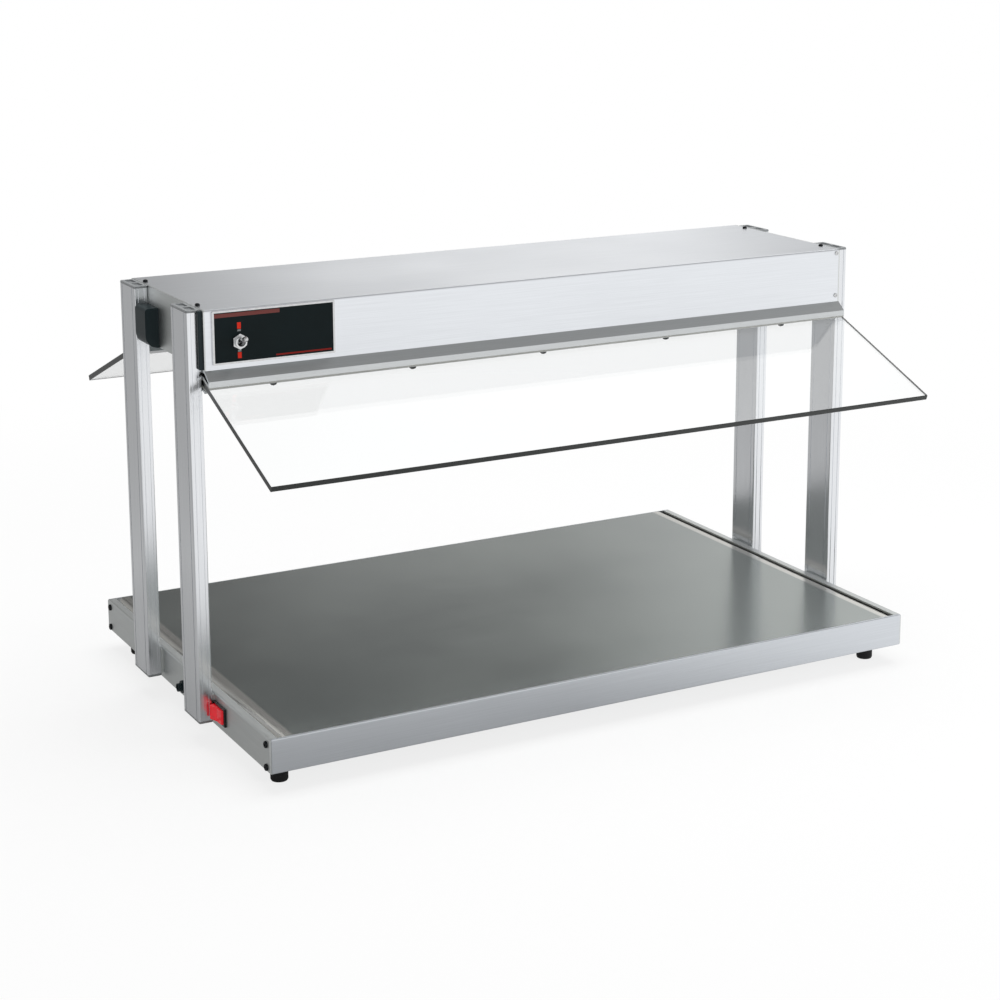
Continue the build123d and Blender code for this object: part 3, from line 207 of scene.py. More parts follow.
def mesh_object(name, mesh, material, body="root", sharp=40):
    """Turns a bmesh into a smooth shaded object that rides on a body."""
    bmesh.ops.recalc_face_normals(mesh, faces=mesh.faces)
    data = bpy.data.meshes.new(name)
    mesh.to_mesh(data)
    mesh.free()
    data.polygons.foreach_set("use_smooth", [True] * len(data.polygons))
    data.set_sharp_from_angle(angle=radians(sharp))
    data.materials.append(material)
    piece = bpy.data.objects.new(name, data)
    bpy.context.scene.collection.objects.link(piece)
    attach(piece, body)
    return piece


def islands(name):
    """Lowest and highest corner of each separate solid of a CAD node."""
    same_point = 1e-6
    mesh = bmesh.new()
    mesh.from_mesh(nodes[name].data)
    bmesh.ops.remove_doubles(mesh, verts=mesh.verts, dist=same_point)
    seen, found = set(), []
    for start in mesh.verts:
        if start in seen:
            continue
        group, todo = [], [start]
        seen.add(start)
        while todo:
            vert = todo.pop()
            group.append(vert.co.copy())
            for edge in vert.link_edges:
                other = edge.other_vert(vert)
                if other not in seen:
                    seen.add(other)
                    todo.append(other)
        low = Vector([min(p[k] for p in group) for k in range(3)])
        high = Vector([max(p[k] for p in group) for k in range(3)])
        found.append((low, high))
    mesh.free()
    return found


def screws_on_axis(name, node, material, axis, rise, radius, flats):
    """Replaces a node of straight screws by detailed ones in the same places. The head is the end
    that lies further from the object's middle."""
    mesh = bmesh.new()
    middle = (cad_box[0] + cad_box[1]) / 2
    for low, high in islands(node):
        centre = (low + high) / 2
        side = 1 if centre[axis] > middle[axis] else -1
        outer = high[axis] if side > 0 else low[axis]
        length = high[axis] - low[axis] - rise
        head = (high - low)[(axis + 1) % 3] / 2
        seat, way = centre.copy(), Vector((0, 0, 0))
        seat[axis] = outer - side * rise
        way[axis] = -side
        screw_mesh(mesh, seat, way, radius, length, head, rise, flats)
    piece = mesh_object(name, mesh, material)
    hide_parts(node)
    return piece


oxide = black_oxide()
piece = screws_on_axis("base_end_screw_set", "base_end_screws", oxide, axis=0,
                       rise=2.0 * mm, radius=1.8 * mm, flats=3.2 * mm)


# Deck
# One aluminium plate with its left and right edges rolled down, hard-coat anodised. The coat is
# grey and half bright, so it mirrors what stands on it softly. A light band over the rolled edges
# is a painted highlight, for the reflection that these edges catch.
def hard_coat():
    material, tree, shader, place = surface("aluminium, hard-coat anodised, half bright")
    cloud = add(tree, "TexNoise", {"Vector": place, "Scale": 1 / (220 * mm), "Detail": 3.0})
    spot = add(tree, "Mapping", {"Vector": place,
                                 "Scale": (1 / (60 * mm), 1 / (1.1 * mm), 1 / (1.1 * mm))})
    grain = add(tree, "TexNoise", {"Vector": spot.outputs[0], "Scale": 1.0, "Detail": 3.0})
    tone = add(tree, "ValToRGB", {0: cloud.outputs[0]})
    tone.color_ramp.elements[0].position = 0.3
    tone.color_ramp.elements[1].position = 0.7
    tone.color_ramp.elements[0].color = linear("#8A908E")
    tone.color_ramp.elements[1].color = linear("#949A97")
    apart = add(tree, "SeparateXYZ", {0: place})
    reach = add(tree, "Math", {0: apart.outputs[0]}, operation="ABSOLUTE")
    deck_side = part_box("deck_plate")[1].x
    # The band within 14 mm of each side is painted light: a painted highlight for the rolled edges'
    # reflection.
    edge_highlight_start, edge_highlight_full = deck_side - 17 * mm, deck_side - 14 * mm
    painted_edge_highlight = add(tree, "MapRange", {"Value": reach.outputs[0], "From Min": edge_highlight_start,
                                 "From Max": edge_highlight_full})
    dyed = add(tree, "Mix", {0: painted_edge_highlight.outputs[0], 6: tone.outputs[0], 7: linear("#C6C5C0")},
               data_type="RGBA")
    both = add(tree, "Math", {0: grain.outputs[0], 1: cloud.outputs[0]}, operation="ADD")
    rough = add(tree, "MapRange", {"Value": both.outputs[0], "From Min": 0.7, "From Max": 1.3,
                                   "To Min": 0.2, "To Max": 0.24})
    relief = add(tree, "Bump", {"Height": grain.outputs[0], "Strength": 0.04,
                                "Distance": 0.1 * mm})
    tree.links.new(dyed.outputs[2], shader.inputs["Base Color"])
    tree.links.new(rough.outputs[0], shader.inputs["Roughness"])
    tree.links.new(relief.outputs[0], shader.inputs["Normal"])
    shader.inputs["Metallic"].default_value = 1.0
    return material


finish_node(hard_coat(), "deck_plate")


# Deck heater
# A foil heater between two skins of silicone rubber, bonded to the underside of the deck, with a
# batt of glass fibre below it and a bimetal disc thermostat held against it.
def silicone():
    material, tree, shader, place = surface("silicone rubber, fabric cured")
    weave = add(tree, "TexWave", {"Vector": place, "Scale": 1 / (2.5 * mm), "Distortion": 0.4})
    tone = add(tree, "ValToRGB", {0: weave.outputs[0]})
    tone.color_ramp.elements[0].color = linear("#A8451F")
    tone.color_ramp.elements[1].color = linear("#B9562B")
    relief = add(tree, "Bump", {"Height": weave.outputs[0], "Strength": 0.3,
                                "Distance": 0.1 * mm})
    tree.links.new(tone.outputs[0], shader.inputs["Base Color"])
    tree.links.new(relief.outputs[0], shader.inputs["Normal"])
    shader.inputs["Roughness"].default_value = 0.6
    return material


def glass_fibre():
    material, tree, shader, place = surface("glass fibre batt, needled")
    tuft = add(tree, "TexNoise", {"Vector": place, "Scale": 1 / (3 * mm), "Detail": 6.0})
    tone = add(tree, "ValToRGB", {0: tuft.outputs[0]})
    tone.color_ramp.elements[0].color = linear("#D8CF9E")
    tone.color_ramp.elements[1].color = linear("#F2EDCB")
    relief = add(tree, "Bump", {"Height": tuft.outputs[0], "Strength": 0.8, "Distance": 1.0 * mm})
    tree.links.new(tone.outputs[0], shader.inputs["Base Color"])
    tree.links.new(relief.outputs[0], shader.inputs["Normal"])
    shader.inputs["Roughness"].default_value = 0.95
    return material


def moulded(name, dark, light, roughness, grain_mm, depth_mm, specular=0.5):
    """A moulded plastic or rubber: two close tones and the fine spark grain of its tool."""
    uneven = 0.06  # how far the roughness strays to either side
    material, tree, shader, place = surface(name)
    grain = add(tree, "TexNoise", {"Vector": place, "Scale": 1 / (grain_mm * mm), "Detail": 4.0})
    tone = add(tree, "ValToRGB", {0: grain.outputs[0]})
    tone.color_ramp.elements[0].position = 0.3
    tone.color_ramp.elements[1].position = 0.7
    tone.color_ramp.elements[0].color = linear(dark)
    tone.color_ramp.elements[1].color = linear(light)
    rough = add(tree, "MapRange", {"Value": grain.outputs[0], "From Min": 0.3, "From Max": 0.7,
                                   "To Min": roughness - uneven, "To Max": roughness + uneven})
    relief = add(tree, "Bump", {"Height": grain.outputs[0], "Strength": 0.25,
                                "Distance": depth_mm * mm})
    tree.links.new(tone.outputs[0], shader.inputs["Base Color"])
    tree.links.new(rough.outputs[0], shader.inputs["Roughness"])
    tree.links.new(relief.outputs[0], shader.inputs["Normal"])
    shader.inputs["Specular IOR Level"].default_value = specular
    return material


finish_node(silicone(), "deck_heater_blanket")
finish_node(glass_fibre(), "deck_insulation")
nylon = moulded("nylon, moulded, natural white", "#C9C5B8", "#D6D3C8",
                roughness=0.45, grain_mm=1.2, depth_mm=0.05)
finish_node(nylon, "deck_thermostat", "base_terminal_block", "hood_terminal_block")


# Bottom pan
# A pressed sheet of galvanised steel under the insulation, held by six plated screws. The zinc
# freezes in flat crystals, which give it faint pale and dark patches.
def galvanised():
    material, tree, shader, place = surface("steel sheet, hot-dip galvanised")
    crystal = add(tree, "TexVoronoi", {"Vector": place, "Scale": 1 / (9 * mm)})
    tone = add(tree, "ValToRGB", {0: crystal.outputs["Color"]})
    tone.color_ramp.elements[0].color = linear("#8F9597")
    tone.color_ramp.elements[1].color = linear("#B4B9BA")
    rough = add(tree, "MapRange", {"Value": crystal.outputs["Color"], "To Min": 0.38,
                                   "To Max": 0.55})
    tree.links.new(tone.outputs[0], shader.inputs["Base Color"])
    tree.links.new(rough.outputs[0], shader.inputs["Roughness"])
    shader.inputs["Metallic"].default_value = 1.0
    return material


def bright_plate():
    material, tree, shader, place = surface("steel, bright nickel plated")
    haze = add(tree, "TexNoise", {"Vector": place, "Scale": 1 / (4 * mm), "Detail": 3.0})
    tone = add(tree, "ValToRGB", {0: haze.outputs[0]})
    tone.color_ramp.elements[0].color = linear("#B9BABB")
    tone.color_ramp.elements[1].color = linear("#DADBDC")
    rough = add(tree, "MapRange", {"Value": haze.outputs[0], "To Min": 0.12, "To Max": 0.24})
    tree.links.new(tone.outputs[0], shader.inputs["Base Color"])
    tree.links.new(rough.outputs[0], shader.inputs["Roughness"])
    shader.inputs["Metallic"].default_value = 1.0
    return material


zinc = galvanised()
plate = bright_plate()
finish_node(zinc, "base_bottom_pan")
finish_node(plate, "foot_screws", "foot_nuts")
piece = screws_on_axis("base_pan_screw_set", "base_pan_screws", plate, axis=2,
                       rise=2.0 * mm, radius=1.5 * mm, flats=2.6 * mm)


# Feet
# Four round feet of moulded rubber, with a flange against the base and a recess for their screw.
# The rubber is matt black and a little dusty where it has stood on a counter.
rubber = moulded("rubber, moulded, matt black", "#0C0C0D", "#19191A",
                 roughness=0.7, grain_mm=0.8, depth_mm=0.05, specular=0.35)
finish_node(rubber, "rubber_feet")


# Supply bush
# Black nylon bush with a collar outside the left end plate and a nut inside it. No cord is shown.
# The housing of the controls and the wiring cover on the hood's end are moulded of the same nylon.
black_nylon = moulded("nylon, moulded, black", "#142023", "#1F2E32",
                      roughness=0.45, grain_mm=0.6, depth_mm=0.04, specular=0.25)
finish_node(black_nylon, "supply_gland", "control_housing", "wiring_cover")


# Rocker switch
# A lit rocker of red polycarbonate in a black bezel that snaps into the left end plate. The lamp
# behind it makes the red glow a little from inside.
def lit_red():
    material, tree, shader, place = surface("polycarbonate, translucent red, lit")
    glow = add(tree, "TexNoise", {"Vector": place, "Scale": 1 / (6 * mm), "Detail": 1.0})
    tone = add(tree, "ValToRGB", {0: glow.outputs[0]})
    tone.color_ramp.elements[0].color = linear("#C40014")
    tone.color_ramp.elements[1].color = linear("#EC0420")
    tree.links.new(tone.outputs[0], shader.inputs["Base Color"])
    tree.links.new(tone.outputs[0], shader.inputs["Emission Color"])
    shader.inputs["Emission Strength"].default_value = 0.35
    shader.inputs["Roughness"].default_value = 0.18
    shader.inputs["Coat Weight"].default_value = 0.3
    return material


gloss_nylon = moulded("nylon, moulded, gloss black", "#090909", "#131314",
                      roughness=0.22, grain_mm=0.9, depth_mm=0.03)
finish_node(gloss_nylon, "rocker_housing")
finish_node(lit_red(), "rocker_button")


# Posts
# Flat aluminium tube with fine grooves near its edges, satin anodised, bolted to the base and to
# the hood from inside. Thin aluminium pads fill the step between the base's ends and the posts.
post_metal = satin_metal("extruded aluminium, satin anodised, die lines along Z", "#E1E3E6",
                         run=2, roughness=0.2)
finish_node(post_metal, "post_front_left", "post_rear_left", "post_front_right", "post_rear_right")
finish_node(end_metal, "post_spacers")
finish_node(plate, "post_bolts", "post_nut_plates")


# Post plugs
# Each end of a post is closed by a grey moulded plug with a stem that grips inside the tube. Its
# face has a chamfered edge and two sunk pockets that keep the moulding of even thickness.
tube_wall = 2.4 * mm
cap_plate = 2.5 * mm
cap_chamfer = 0.6 * mm
cap_corner = 1.5 * mm
pocket_depth = 1.6 * mm
pocket_draft = 0.3 * mm
pocket_offset = 0.47  # from the cap's middle to the pocket's, as a share of the half length
pocket_side_wall = 3.4 * mm
pocket_end_wall = 1.8 * mm


def frame_ring(mesh, half_x, half_y, round_by, z, centre, count=5):
    """A closed ring of points round a rectangle with rounded corners."""
    ring = []
    for corner, (sign_x, sign_y) in enumerate(((1, 1), (-1, 1), (-1, -1), (1, -1))):
        for step in range(count + 1):
            turn = pi / 2 * (corner + step / count)
            ring.append(mesh.verts.new((
                centre[0] + sign_x * (half_x - round_by) + round_by * cos(turn),
                centre[1] + sign_y * (half_y - round_by) + round_by * sin(turn), z)))
    return ring


def plug(mesh, low, high, outer):
    """Adds one plug between two corners. outer is 1 where its face looks up, and -1 down."""
    centre = (low + high) / 2
    half_x, half_y = (high - low).x / 2, (high - low).y / 2
    stem_x, stem_y = half_x - tube_wall, half_y - tube_wall
    face = high.z if outer > 0 else low.z
    end = low.z if outer > 0 else high.z
    under = face - outer * cap_plate
    rings = [frame_ring(mesh, stem_x, stem_y, cap_corner / 2, end, centre),
             frame_ring(mesh, stem_x, stem_y, cap_corner / 2, under, centre),
             frame_ring(mesh, half_x, half_y, cap_corner, under, centre),
             frame_ring(mesh, half_x, half_y, cap_corner, face - outer * cap_chamfer, centre),
             frame_ring(mesh, half_x - cap_chamfer, half_y - cap_chamfer, cap_corner, face,
                        centre)]
    join_rings(mesh, rings)
    mesh.faces.new(rings[0])
    pockets = []
    for side in (-1, 1):
        middle = centre + Vector((0, side * half_y * pocket_offset, 0))
        wide, long = half_x - pocket_side_wall, half_y * pocket_offset - pocket_end_wall
        pocket = [frame_ring(mesh, wide, long, cap_corner, face, middle),
                  frame_ring(mesh, wide - pocket_draft, long - pocket_draft, cap_corner,
                             face - outer * pocket_depth, middle)]
        join_rings(mesh, pocket)
        mesh.faces.new(pocket[1])
        pockets.append(pocket[0])
    edges = []
    for ring in (rings[-1], *pockets):
        edges += [mesh.edges.get((ring[i], ring[(i + 1) % len(ring)])) for i in range(len(ring))]
    bmesh.ops.triangle_fill(mesh, use_beauty=True, use_dissolve=False, edges=edges)


mesh = bmesh.new()
base_or_hood = 0.4  # a plug above this height closes a post's top, and one below it the foot
for low, high in islands("post_caps"):
    plug(mesh, low, high, 1 if high.z > base_or_hood else -1)
grey_nylon = moulded("nylon, moulded, grey, fine grain", "#7F8284", "#8C8F91",
                     roughness=0.3, grain_mm=0.9, depth_mm=0.03)
piece = mesh_object("post_plugs", mesh, grey_nylon, sharp=30)
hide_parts("post_caps")


# Hood
# One sheet of stainless steel, brushed along its length and formed into a roof, two walls and two
# lips, with an end cap in each end. Black screws in the roof and plated ones in the walls hold the
# caps.
hood_metal = satin_metal("stainless steel sheet, satin, brushed along X", "#E4E7EB", run=0,
                         roughness=0.3)
cap_metal = satin_metal("stainless steel sheet, satin, brushed along Y", "#D2D5D4", run=1,
                        roughness=0.42)
finish_node(hood_metal, "hood_shell")
finish_node(cap_metal, "hood_left_end_cap", "hood_right_end_cap")
piece = screws_on_axis("hood_top_screw_set", "hood_top_screws", oxide, axis=2,
                       rise=2.0 * mm, radius=1.5 * mm, flats=2.4 * mm)
piece = screws_on_axis("hood_side_screw_set", "hood_side_screws", plate, axis=1,
                       rise=1.0 * mm, radius=1.5 * mm, flats=2.4 * mm)


# Lamps
# Two sheathed infrared elements in polished half-round reflectors, carried by ceramic bushes in
# sheet brackets. A welded wire guard lies under each one.
def polished():
    material, tree, shader, place = surface("aluminium, specular rolled")
    spot = add(tree, "Mapping", {"Vector": place,
                                 "Scale": (1 / (50 * mm), 1 / (0.8 * mm), 1 / (0.8 * mm))})
    roll = add(tree, "TexNoise", {"Vector": spot.outputs[0], "Scale": 1.0, "Detail": 3.0})
    tone = add(tree, "ValToRGB", {0: roll.outputs[0]})
    tone.color_ramp.elements[0].color = linear("#D9DADA")
    tone.color_ramp.elements[1].color = linear("#EDEDED")
    rough = add(tree, "MapRange", {"Value": roll.outputs[0], "To Min": 0.05, "To Max": 0.14})
    tree.links.new(tone.outputs[0], shader.inputs["Base Color"])
    tree.links.new(rough.outputs[0], shader.inputs["Roughness"])
    shader.inputs["Metallic"].default_value = 1.0
    return material


def sheath():
    material, tree, shader, place = surface("nickel alloy tube, heat oxidised")
    stain = add(tree, "TexNoise", {"Vector": place, "Scale": 1 / (25 * mm), "Detail": 5.0})
    tone = add(tree, "ValToRGB", {0: stain.outputs[0]})
    tone.color_ramp.elements[0].color = linear("#3E3A34")
    tone.color_ramp.elements[1].color = linear("#6B665C")
    tree.links.new(tone.outputs[0], shader.inputs["Base Color"])
    shader.inputs["Roughness"].default_value = 0.5
    shader.inputs["Metallic"].default_value = 0.7
    return material


finish_node(polished(), "front_reflector", "rear_reflector")
finish_node(sheath(), "front_infrared_element", "rear_infrared_element")
steatite = moulded("steatite, pressed and fired", "#DAD6C9", "#E6E3D8",
                   roughness=0.6, grain_mm=1.0, depth_mm=0.08)
finish_node(steatite, "element_insulators")
finish_node(zinc, "lamp_left_bracket", "lamp_right_bracket", "control_bay_cover",
            "hood_centre_rail")
finish_node(plate, "front_lamp_guard", "rear_lamp_guard", "guard_channel_screws")


# Control panel
# A black screen-printed film on an aluminium plate, in a bright frame on the hood's front. The
# toggle switch comes through it, with a red mark above and below its lever.
lever_x = -351.6
prints = (  # ink, middle in X and in Z, width and height, in millimetres
    ("#E23422", lever_x, 440.0, 4.0, 6.6), ("#8A8C8C", lever_x, 435.2, 3.6, 1.8),
    ("#8A8C8C", lever_x, 414.6, 3.6, 2.2), ("#E23422", lever_x, 409.9, 4.0, 6.2),
    ("#7B4541", -342.8, 451.4, 69.6, 4.0), ("#8E221C", -282.3, 406.5, 60.6, 1.6))
sleeve_back = -104.0 * mm  # the switch is plated in front of this, and black nylon behind it


def printed_patch(tree, apart, middle_x, middle_z, wide, high):
    """A mask of one printed rectangle of the panel, from its middle and its size in millimetres."""
    sides = []
    for axis, middle, size in ((0, middle_x, wide), (2, middle_z, high)):
        off = add(tree, "Math", {0: apart.outputs[axis], 1: middle * mm}, operation="SUBTRACT")
        off = add(tree, "Math", {0: off.outputs[0]}, operation="ABSOLUTE")
        sides.append(add(tree, "Math", {0: off.outputs[0], 1: size / 2 * mm},
                         operation="LESS_THAN").outputs[0])
    return add(tree, "Math", {0: sides[0], 1: sides[1]}, operation="MULTIPLY").outputs[0]


def printed_film():
    material, tree, shader, place = surface("polyester film, screen printed black")
    haze = add(tree, "TexNoise", {"Vector": place, "Scale": 1 / (30 * mm), "Detail": 3.0})
    tone = add(tree, "ValToRGB", {0: haze.outputs[0]})
    tone.color_ramp.elements[0].color = linear("#061213")
    tone.color_ramp.elements[1].color = linear("#0C1A1D")
    apart = add(tree, "SeparateXYZ", {0: place})
    colour = tone.outputs[0]
    for ink, *patch in prints:
        mask = printed_patch(tree, apart, *patch)
        colour = add(tree, "Mix", {0: mask, 6: colour, 7: linear(ink)},
                     data_type="RGBA").outputs[2]
    rough = add(tree, "MapRange", {"Value": haze.outputs[0], "To Min": 0.3, "To Max": 0.42})
    tree.links.new(colour, shader.inputs["Base Color"])
    tree.links.new(rough.outputs[0], shader.inputs["Roughness"])
    shader.inputs["Specular IOR Level"].default_value = 0.12
    return material


def switch_finish():
    """The toggle switch is one part: a black nylon body, and a plated sleeve in front of it."""
    material, tree, shader, place = surface("nylon body, black, with a nickel plated sleeve")
    apart = add(tree, "SeparateXYZ", {0: place})
    sleeve = add(tree, "Math", {0: apart.outputs[1], 1: sleeve_back}, operation="LESS_THAN")
    grain = add(tree, "TexNoise", {"Vector": place, "Scale": 1 / (0.8 * mm), "Detail": 3.0})
    tone = add(tree, "MapRange", {"Value": grain.outputs[0], "To Min": 0.9, "To Max": 1.0})
    colour = add(tree, "Mix", {0: sleeve.outputs[0], 6: linear("#111718"), 7: linear("#D5D6D7")},
                 data_type="RGBA")
    colour = add(tree, "Mix", {0: 1.0, 6: colour.outputs[2], 7: tone.outputs[0]},
                 data_type="RGBA", blend_type="MULTIPLY")
    rough = add(tree, "Mix", {0: sleeve.outputs[0], 2: 0.45, 3: 0.2})
    tree.links.new(colour.outputs[2], shader.inputs["Base Color"])
    tree.links.new(rough.outputs[0], shader.inputs["Roughness"])
    tree.links.new(sleeve.outputs[0], shader.inputs["Metallic"])
    return material


finish_node(printed_film(), "control_faceplate")
finish_node(switch_finish(), "toggle_switch")
finish_node(plate, "control_frame", "toggle_nut")


# Toggle lever
# A bat lever turned from brass and nickel plated. It swings on a ball in the sleeve, where a
# cross pin keeps it from turning about itself.
lever_pivot = Vector((lever_x, -106.3, 424.0)) * mm
lever_tilt = radians(15)
lever_length = 23.0 * mm
lever_tip = 2.8 * mm
lever_root = 1.6 * mm
lever_tail = 5.0 * mm
lever_ball = 3.0 * mm
lever_neck = 2.44 * mm  # where the bat leaves the ball
lever_edge = 0.3 * mm
pin_radius = 1.0 * mm
pin_start = 1.8 * mm  # inside the ball


def turned(mesh, start, way, profile, count=32):
    """Adds a closed turned form, from pairs of the distance along its axis and the radius."""
    skin(mesh, start, way, [circle(radius, along, count) for along, radius in profile])


profile = [(-lever_tail, lever_root - lever_edge), (lever_edge - lever_tail, lever_root)]
ball_back = -(lever_ball ** 2 - lever_root ** 2) ** 0.5
ball_steps = 12
for step in range(ball_steps + 1):
    along = ball_back + (lever_neck - ball_back) * step / ball_steps
    profile.append((along, (lever_ball ** 2 - along ** 2) ** 0.5))
tip_steps, tip_bend = 8, 84  # in degrees, as the tip ends in a small flat
for step in range(tip_steps + 1):
    bend = radians(tip_bend * step / tip_steps)
    profile.append((lever_length - lever_tip + lever_tip * sin(bend), lever_tip * cos(bend)))
mesh = bmesh.new()
turned(mesh, lever_pivot, (0, -cos(lever_tilt), sin(lever_tilt)), profile)
low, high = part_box("toggle_lever")
pin_end = (high.x - low.x) / 2
for side in (-1, 1):
    turned(mesh, lever_pivot, (side, 0, 0),
           [(pin_start, pin_radius), (pin_end - lever_edge, pin_radius),
            (pin_end, pin_radius - lever_edge)])
piece = mesh_object("toggle_bat_lever", mesh, plate, body="toggle", sharp=30)
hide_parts("toggle_lever")


# Glass guards
# A clamp channel of extruded aluminium under each long edge of the hood holds a plate of
# tempered glass in a vinyl gasket. Five black screws under it press the glass home. The glass is
# clear; its ground edges are painted nearly black and opaque, a painted shade for the dark look of
# a glass edge.
def tempered_glass():
    material, tree, shader, place = surface("soda lime glass, tempered, clear, edges ground")
    film = add(tree, "TexNoise", {"Vector": place, "Scale": 1 / (60 * mm), "Detail": 2.0})
    haze = add(tree, "MapRange", {"Value": film.outputs[0], "To Min": 0.0, "To Max": 0.02})
    facing = add(tree, "SeparateXYZ", {0: add(tree, "TexCoord").outputs["Normal"]})
    upright = add(tree, "Math", {0: facing.outputs[2]}, operation="ABSOLUTE")
    least_upright = 0.65  # the Z part of the normal on the plate's two faces is over this
    # The plate's edges are painted nearly black and let no light through: a painted shade for how
    # dark a glass edge looks. Their roughness of 0.3 is the grinding.
    edge = add(tree, "Math", {0: upright.outputs[0], 1: least_upright},
               operation="LESS_THAN").outputs[0]
    tone = add(tree, "Mix", {0: edge, 6: linear("#FEFFFF"), 7: linear("#161B1A")},
               data_type="RGBA")
    rough = add(tree, "Mix", {0: edge, 2: haze.outputs[0], 3: 0.3})
    clarity = add(tree, "Math", {0: 1.0, 1: edge}, operation="SUBTRACT")
    tree.links.new(tone.outputs[2], shader.inputs["Base Color"])
    tree.links.new(rough.outputs[0], shader.inputs["Roughness"])
    tree.links.new(clarity.outputs[0], shader.inputs["Transmission Weight"])
    shader.inputs["IOR"].default_value = 1.52
    clear = add(tree, "BsdfTransparent", {"Color": linear("#FAFCFB")})
    path = add(tree, "LightPath")
    passes = add(tree, "Math", {0: path.outputs["Is Shadow Ray"], 1: clarity.outputs[0]},
                 operation="MULTIPLY")
    shade = add(tree, "MixShader", {0: passes.outputs[0], 1: shader.outputs[0],
                                    2: clear.outputs[0]})
    tree.links.new(shade.outputs[0], tree.nodes["Material Output"].inputs["Surface"])
    return material


channel_metal = satin_metal("extruded aluminium, satin anodised, clamp channel", "#CBCECF", run=0,
                            roughness=0.3)
vinyl = moulded("vinyl, extruded, light grey", "#B9BAB6", "#C6C7C3",
                roughness=0.45, grain_mm=1.5, depth_mm=0.03)
finish_node(vinyl, "front_guard_gasket", "rear_guard_gasket")
finish_node(channel_metal, "front_guard_channel", "rear_guard_channel")
finish_node(tempered_glass(), "front_guard_glass", "rear_guard_glass")
finish_node(oxide, "guard_clamp_screws")


# Floor and backdrop
# A plain white sweep. Close to the object it keeps a faint shadow, and further out it fades into
# the white background. The studio is darker behind the object's left end, and metal shows that.
floor_half = 30.0
bright_side = (0.77, -0.64, 0.0)  # points from the middle to the studio's bright side
fade_start, fade_full = 0.55, 1.5  # how far out the sweep starts to turn white, and is all white
least_white = 0.8
footprint = (0.386, 0.246, 0)  # half length and half width of the base
near_base, off_base = 0.12, 0.3  # past the footprint: the near grade ends, and the far one rules
lit_floor = 1.07


def ray_kinds(tree):
    """Masks of the rays that see the background itself, and of those that metal reflects."""
    path = add(tree, "LightPath")
    plain = add(tree, "Math", {0: path.outputs["Is Camera Ray"],
                               1: path.outputs["Is Transmission Ray"]}, operation="MAXIMUM")
    return plain.outputs[0], path.outputs["Is Glossy Ray"]


def sweep():
    material, tree, shader, place = surface("studio sweep, matt white")
    shader.inputs["Base Color"].default_value = linear("#F3F3F3")
    shader.inputs["Roughness"].default_value = 0.9
    shader.inputs["Specular IOR Level"].default_value = 0.1
    flat = add(tree, "VectorMath", {0: place, 1: (1.0, 1.0, 0.0)}, operation="MULTIPLY")
    far = add(tree, "VectorMath", {0: flat.outputs[0]}, operation="LENGTH")
    fade = add(tree, "MapRange", {"Value": far.outputs["Value"], "From Min": fade_start,
                                  "From Max": fade_full, "To Min": least_white, "To Max": 1.0},
               interpolation_type="SMOOTHSTEP")
    along = add(tree, "VectorMath", {0: place, 1: bright_side}, operation="DOT_PRODUCT")
    grades = []
    for dark_end, lit_end, dim in ((0.15, 0.6, 0.35), (-0.4, 0.35, 0.46)):
        grades.append(add(tree, "MapRange", {
            "Value": along.outputs["Value"], "From Min": dark_end, "From Max": lit_end,
            "To Min": dim, "To Max": lit_floor}, interpolation_type="SMOOTHSTEP"))
    past = add(tree, "VectorMath", {0: flat.outputs[0]}, operation="ABSOLUTE")
    past = add(tree, "VectorMath", {0: past.outputs[0], 1: footprint}, operation="SUBTRACT")
    past = add(tree, "SeparateXYZ", {0: past.outputs[0]})
    past = add(tree, "Math", {0: past.outputs[0], 1: past.outputs[1]}, operation="MAXIMUM")
    away = add(tree, "MapRange", {"Value": past.outputs[0], "From Min": near_base,
                                  "From Max": off_base}, interpolation_type="SMOOTHSTEP")
    grade = add(tree, "Mix", {0: away.outputs[0], 2: grades[0].outputs[0],
                              3: grades[1].outputs[0]})
    plain, glossy = ray_kinds(tree)
    strength = add(tree, "Mix", {0: plain, 2: grade.outputs[0], 3: 1.0})
    seen = add(tree, "Math", {0: plain, 1: glossy}, operation="MAXIMUM")
    amount = add(tree, "Math", {0: fade.outputs[0], 1: seen.outputs[0]}, operation="MULTIPLY")
    white = add(tree, "Emission", {"Color": (1, 1, 1, 1), "Strength": strength.outputs[0]})
    both = add(tree, "MixShader", {0: amount.outputs[0], 1: shader.outputs[0],
                                   2: white.outputs[0]})
    tree.links.new(both.outputs[0], tree.nodes["Material Output"].inputs["Surface"])
    return material


mesh = bmesh.new()
corners = [(-floor_half, -floor_half, 0), (floor_half, -floor_half, 0),
           (floor_half, floor_half, 0), (-floor_half, floor_half, 0)]
mesh.faces.new([mesh.verts.new(point) for point in corners])
data = bpy.data.meshes.new("floor")
mesh.to_mesh(data)
mesh.free()
data.materials.append(sweep())
floor = bpy.data.objects.new("floor", data)
bpy.context.scene.collection.objects.link(floor)


# Light
# A large soft lamp overhead, one at the front right that lights the fascia, and a weak white
# surround. What metal reflects of the surround is white at the horizon and on the bright side,
# and greyer towards the ceiling and behind the object's left end. Behind the object stand a tall
# soft window and, above the horizon, a dark flag and a white card. Azimuths are degrees from the
# rear towards the right, and heights are the Z part of a ray's direction.
weak_surround = 0.35
dark_wall, dark_wall_end, white_wall_end = 0.4, -0.75, 0.8
window_azimuth, window_half_width, window_gain = 28.0, 9.5, 0.7
left_azimuth, left_gain = -60, 0.12
ceiling_start, ceiling_end, ceiling_tone = 0.35, 0.95, 0.37
flag_azimuth, flag_half_width, flag_core, flag_tone = 18, 19, 10, 0.08
flag_top_start, flag_top_end = 0.4, 0.48
card_azimuth, card_half_width, card_core = 46, 15, 5
card_gain, under_card_gain = 0.75, -0.5
horizon_start, horizon_end = 0.23, 0.31  # the flag and the card begin between these

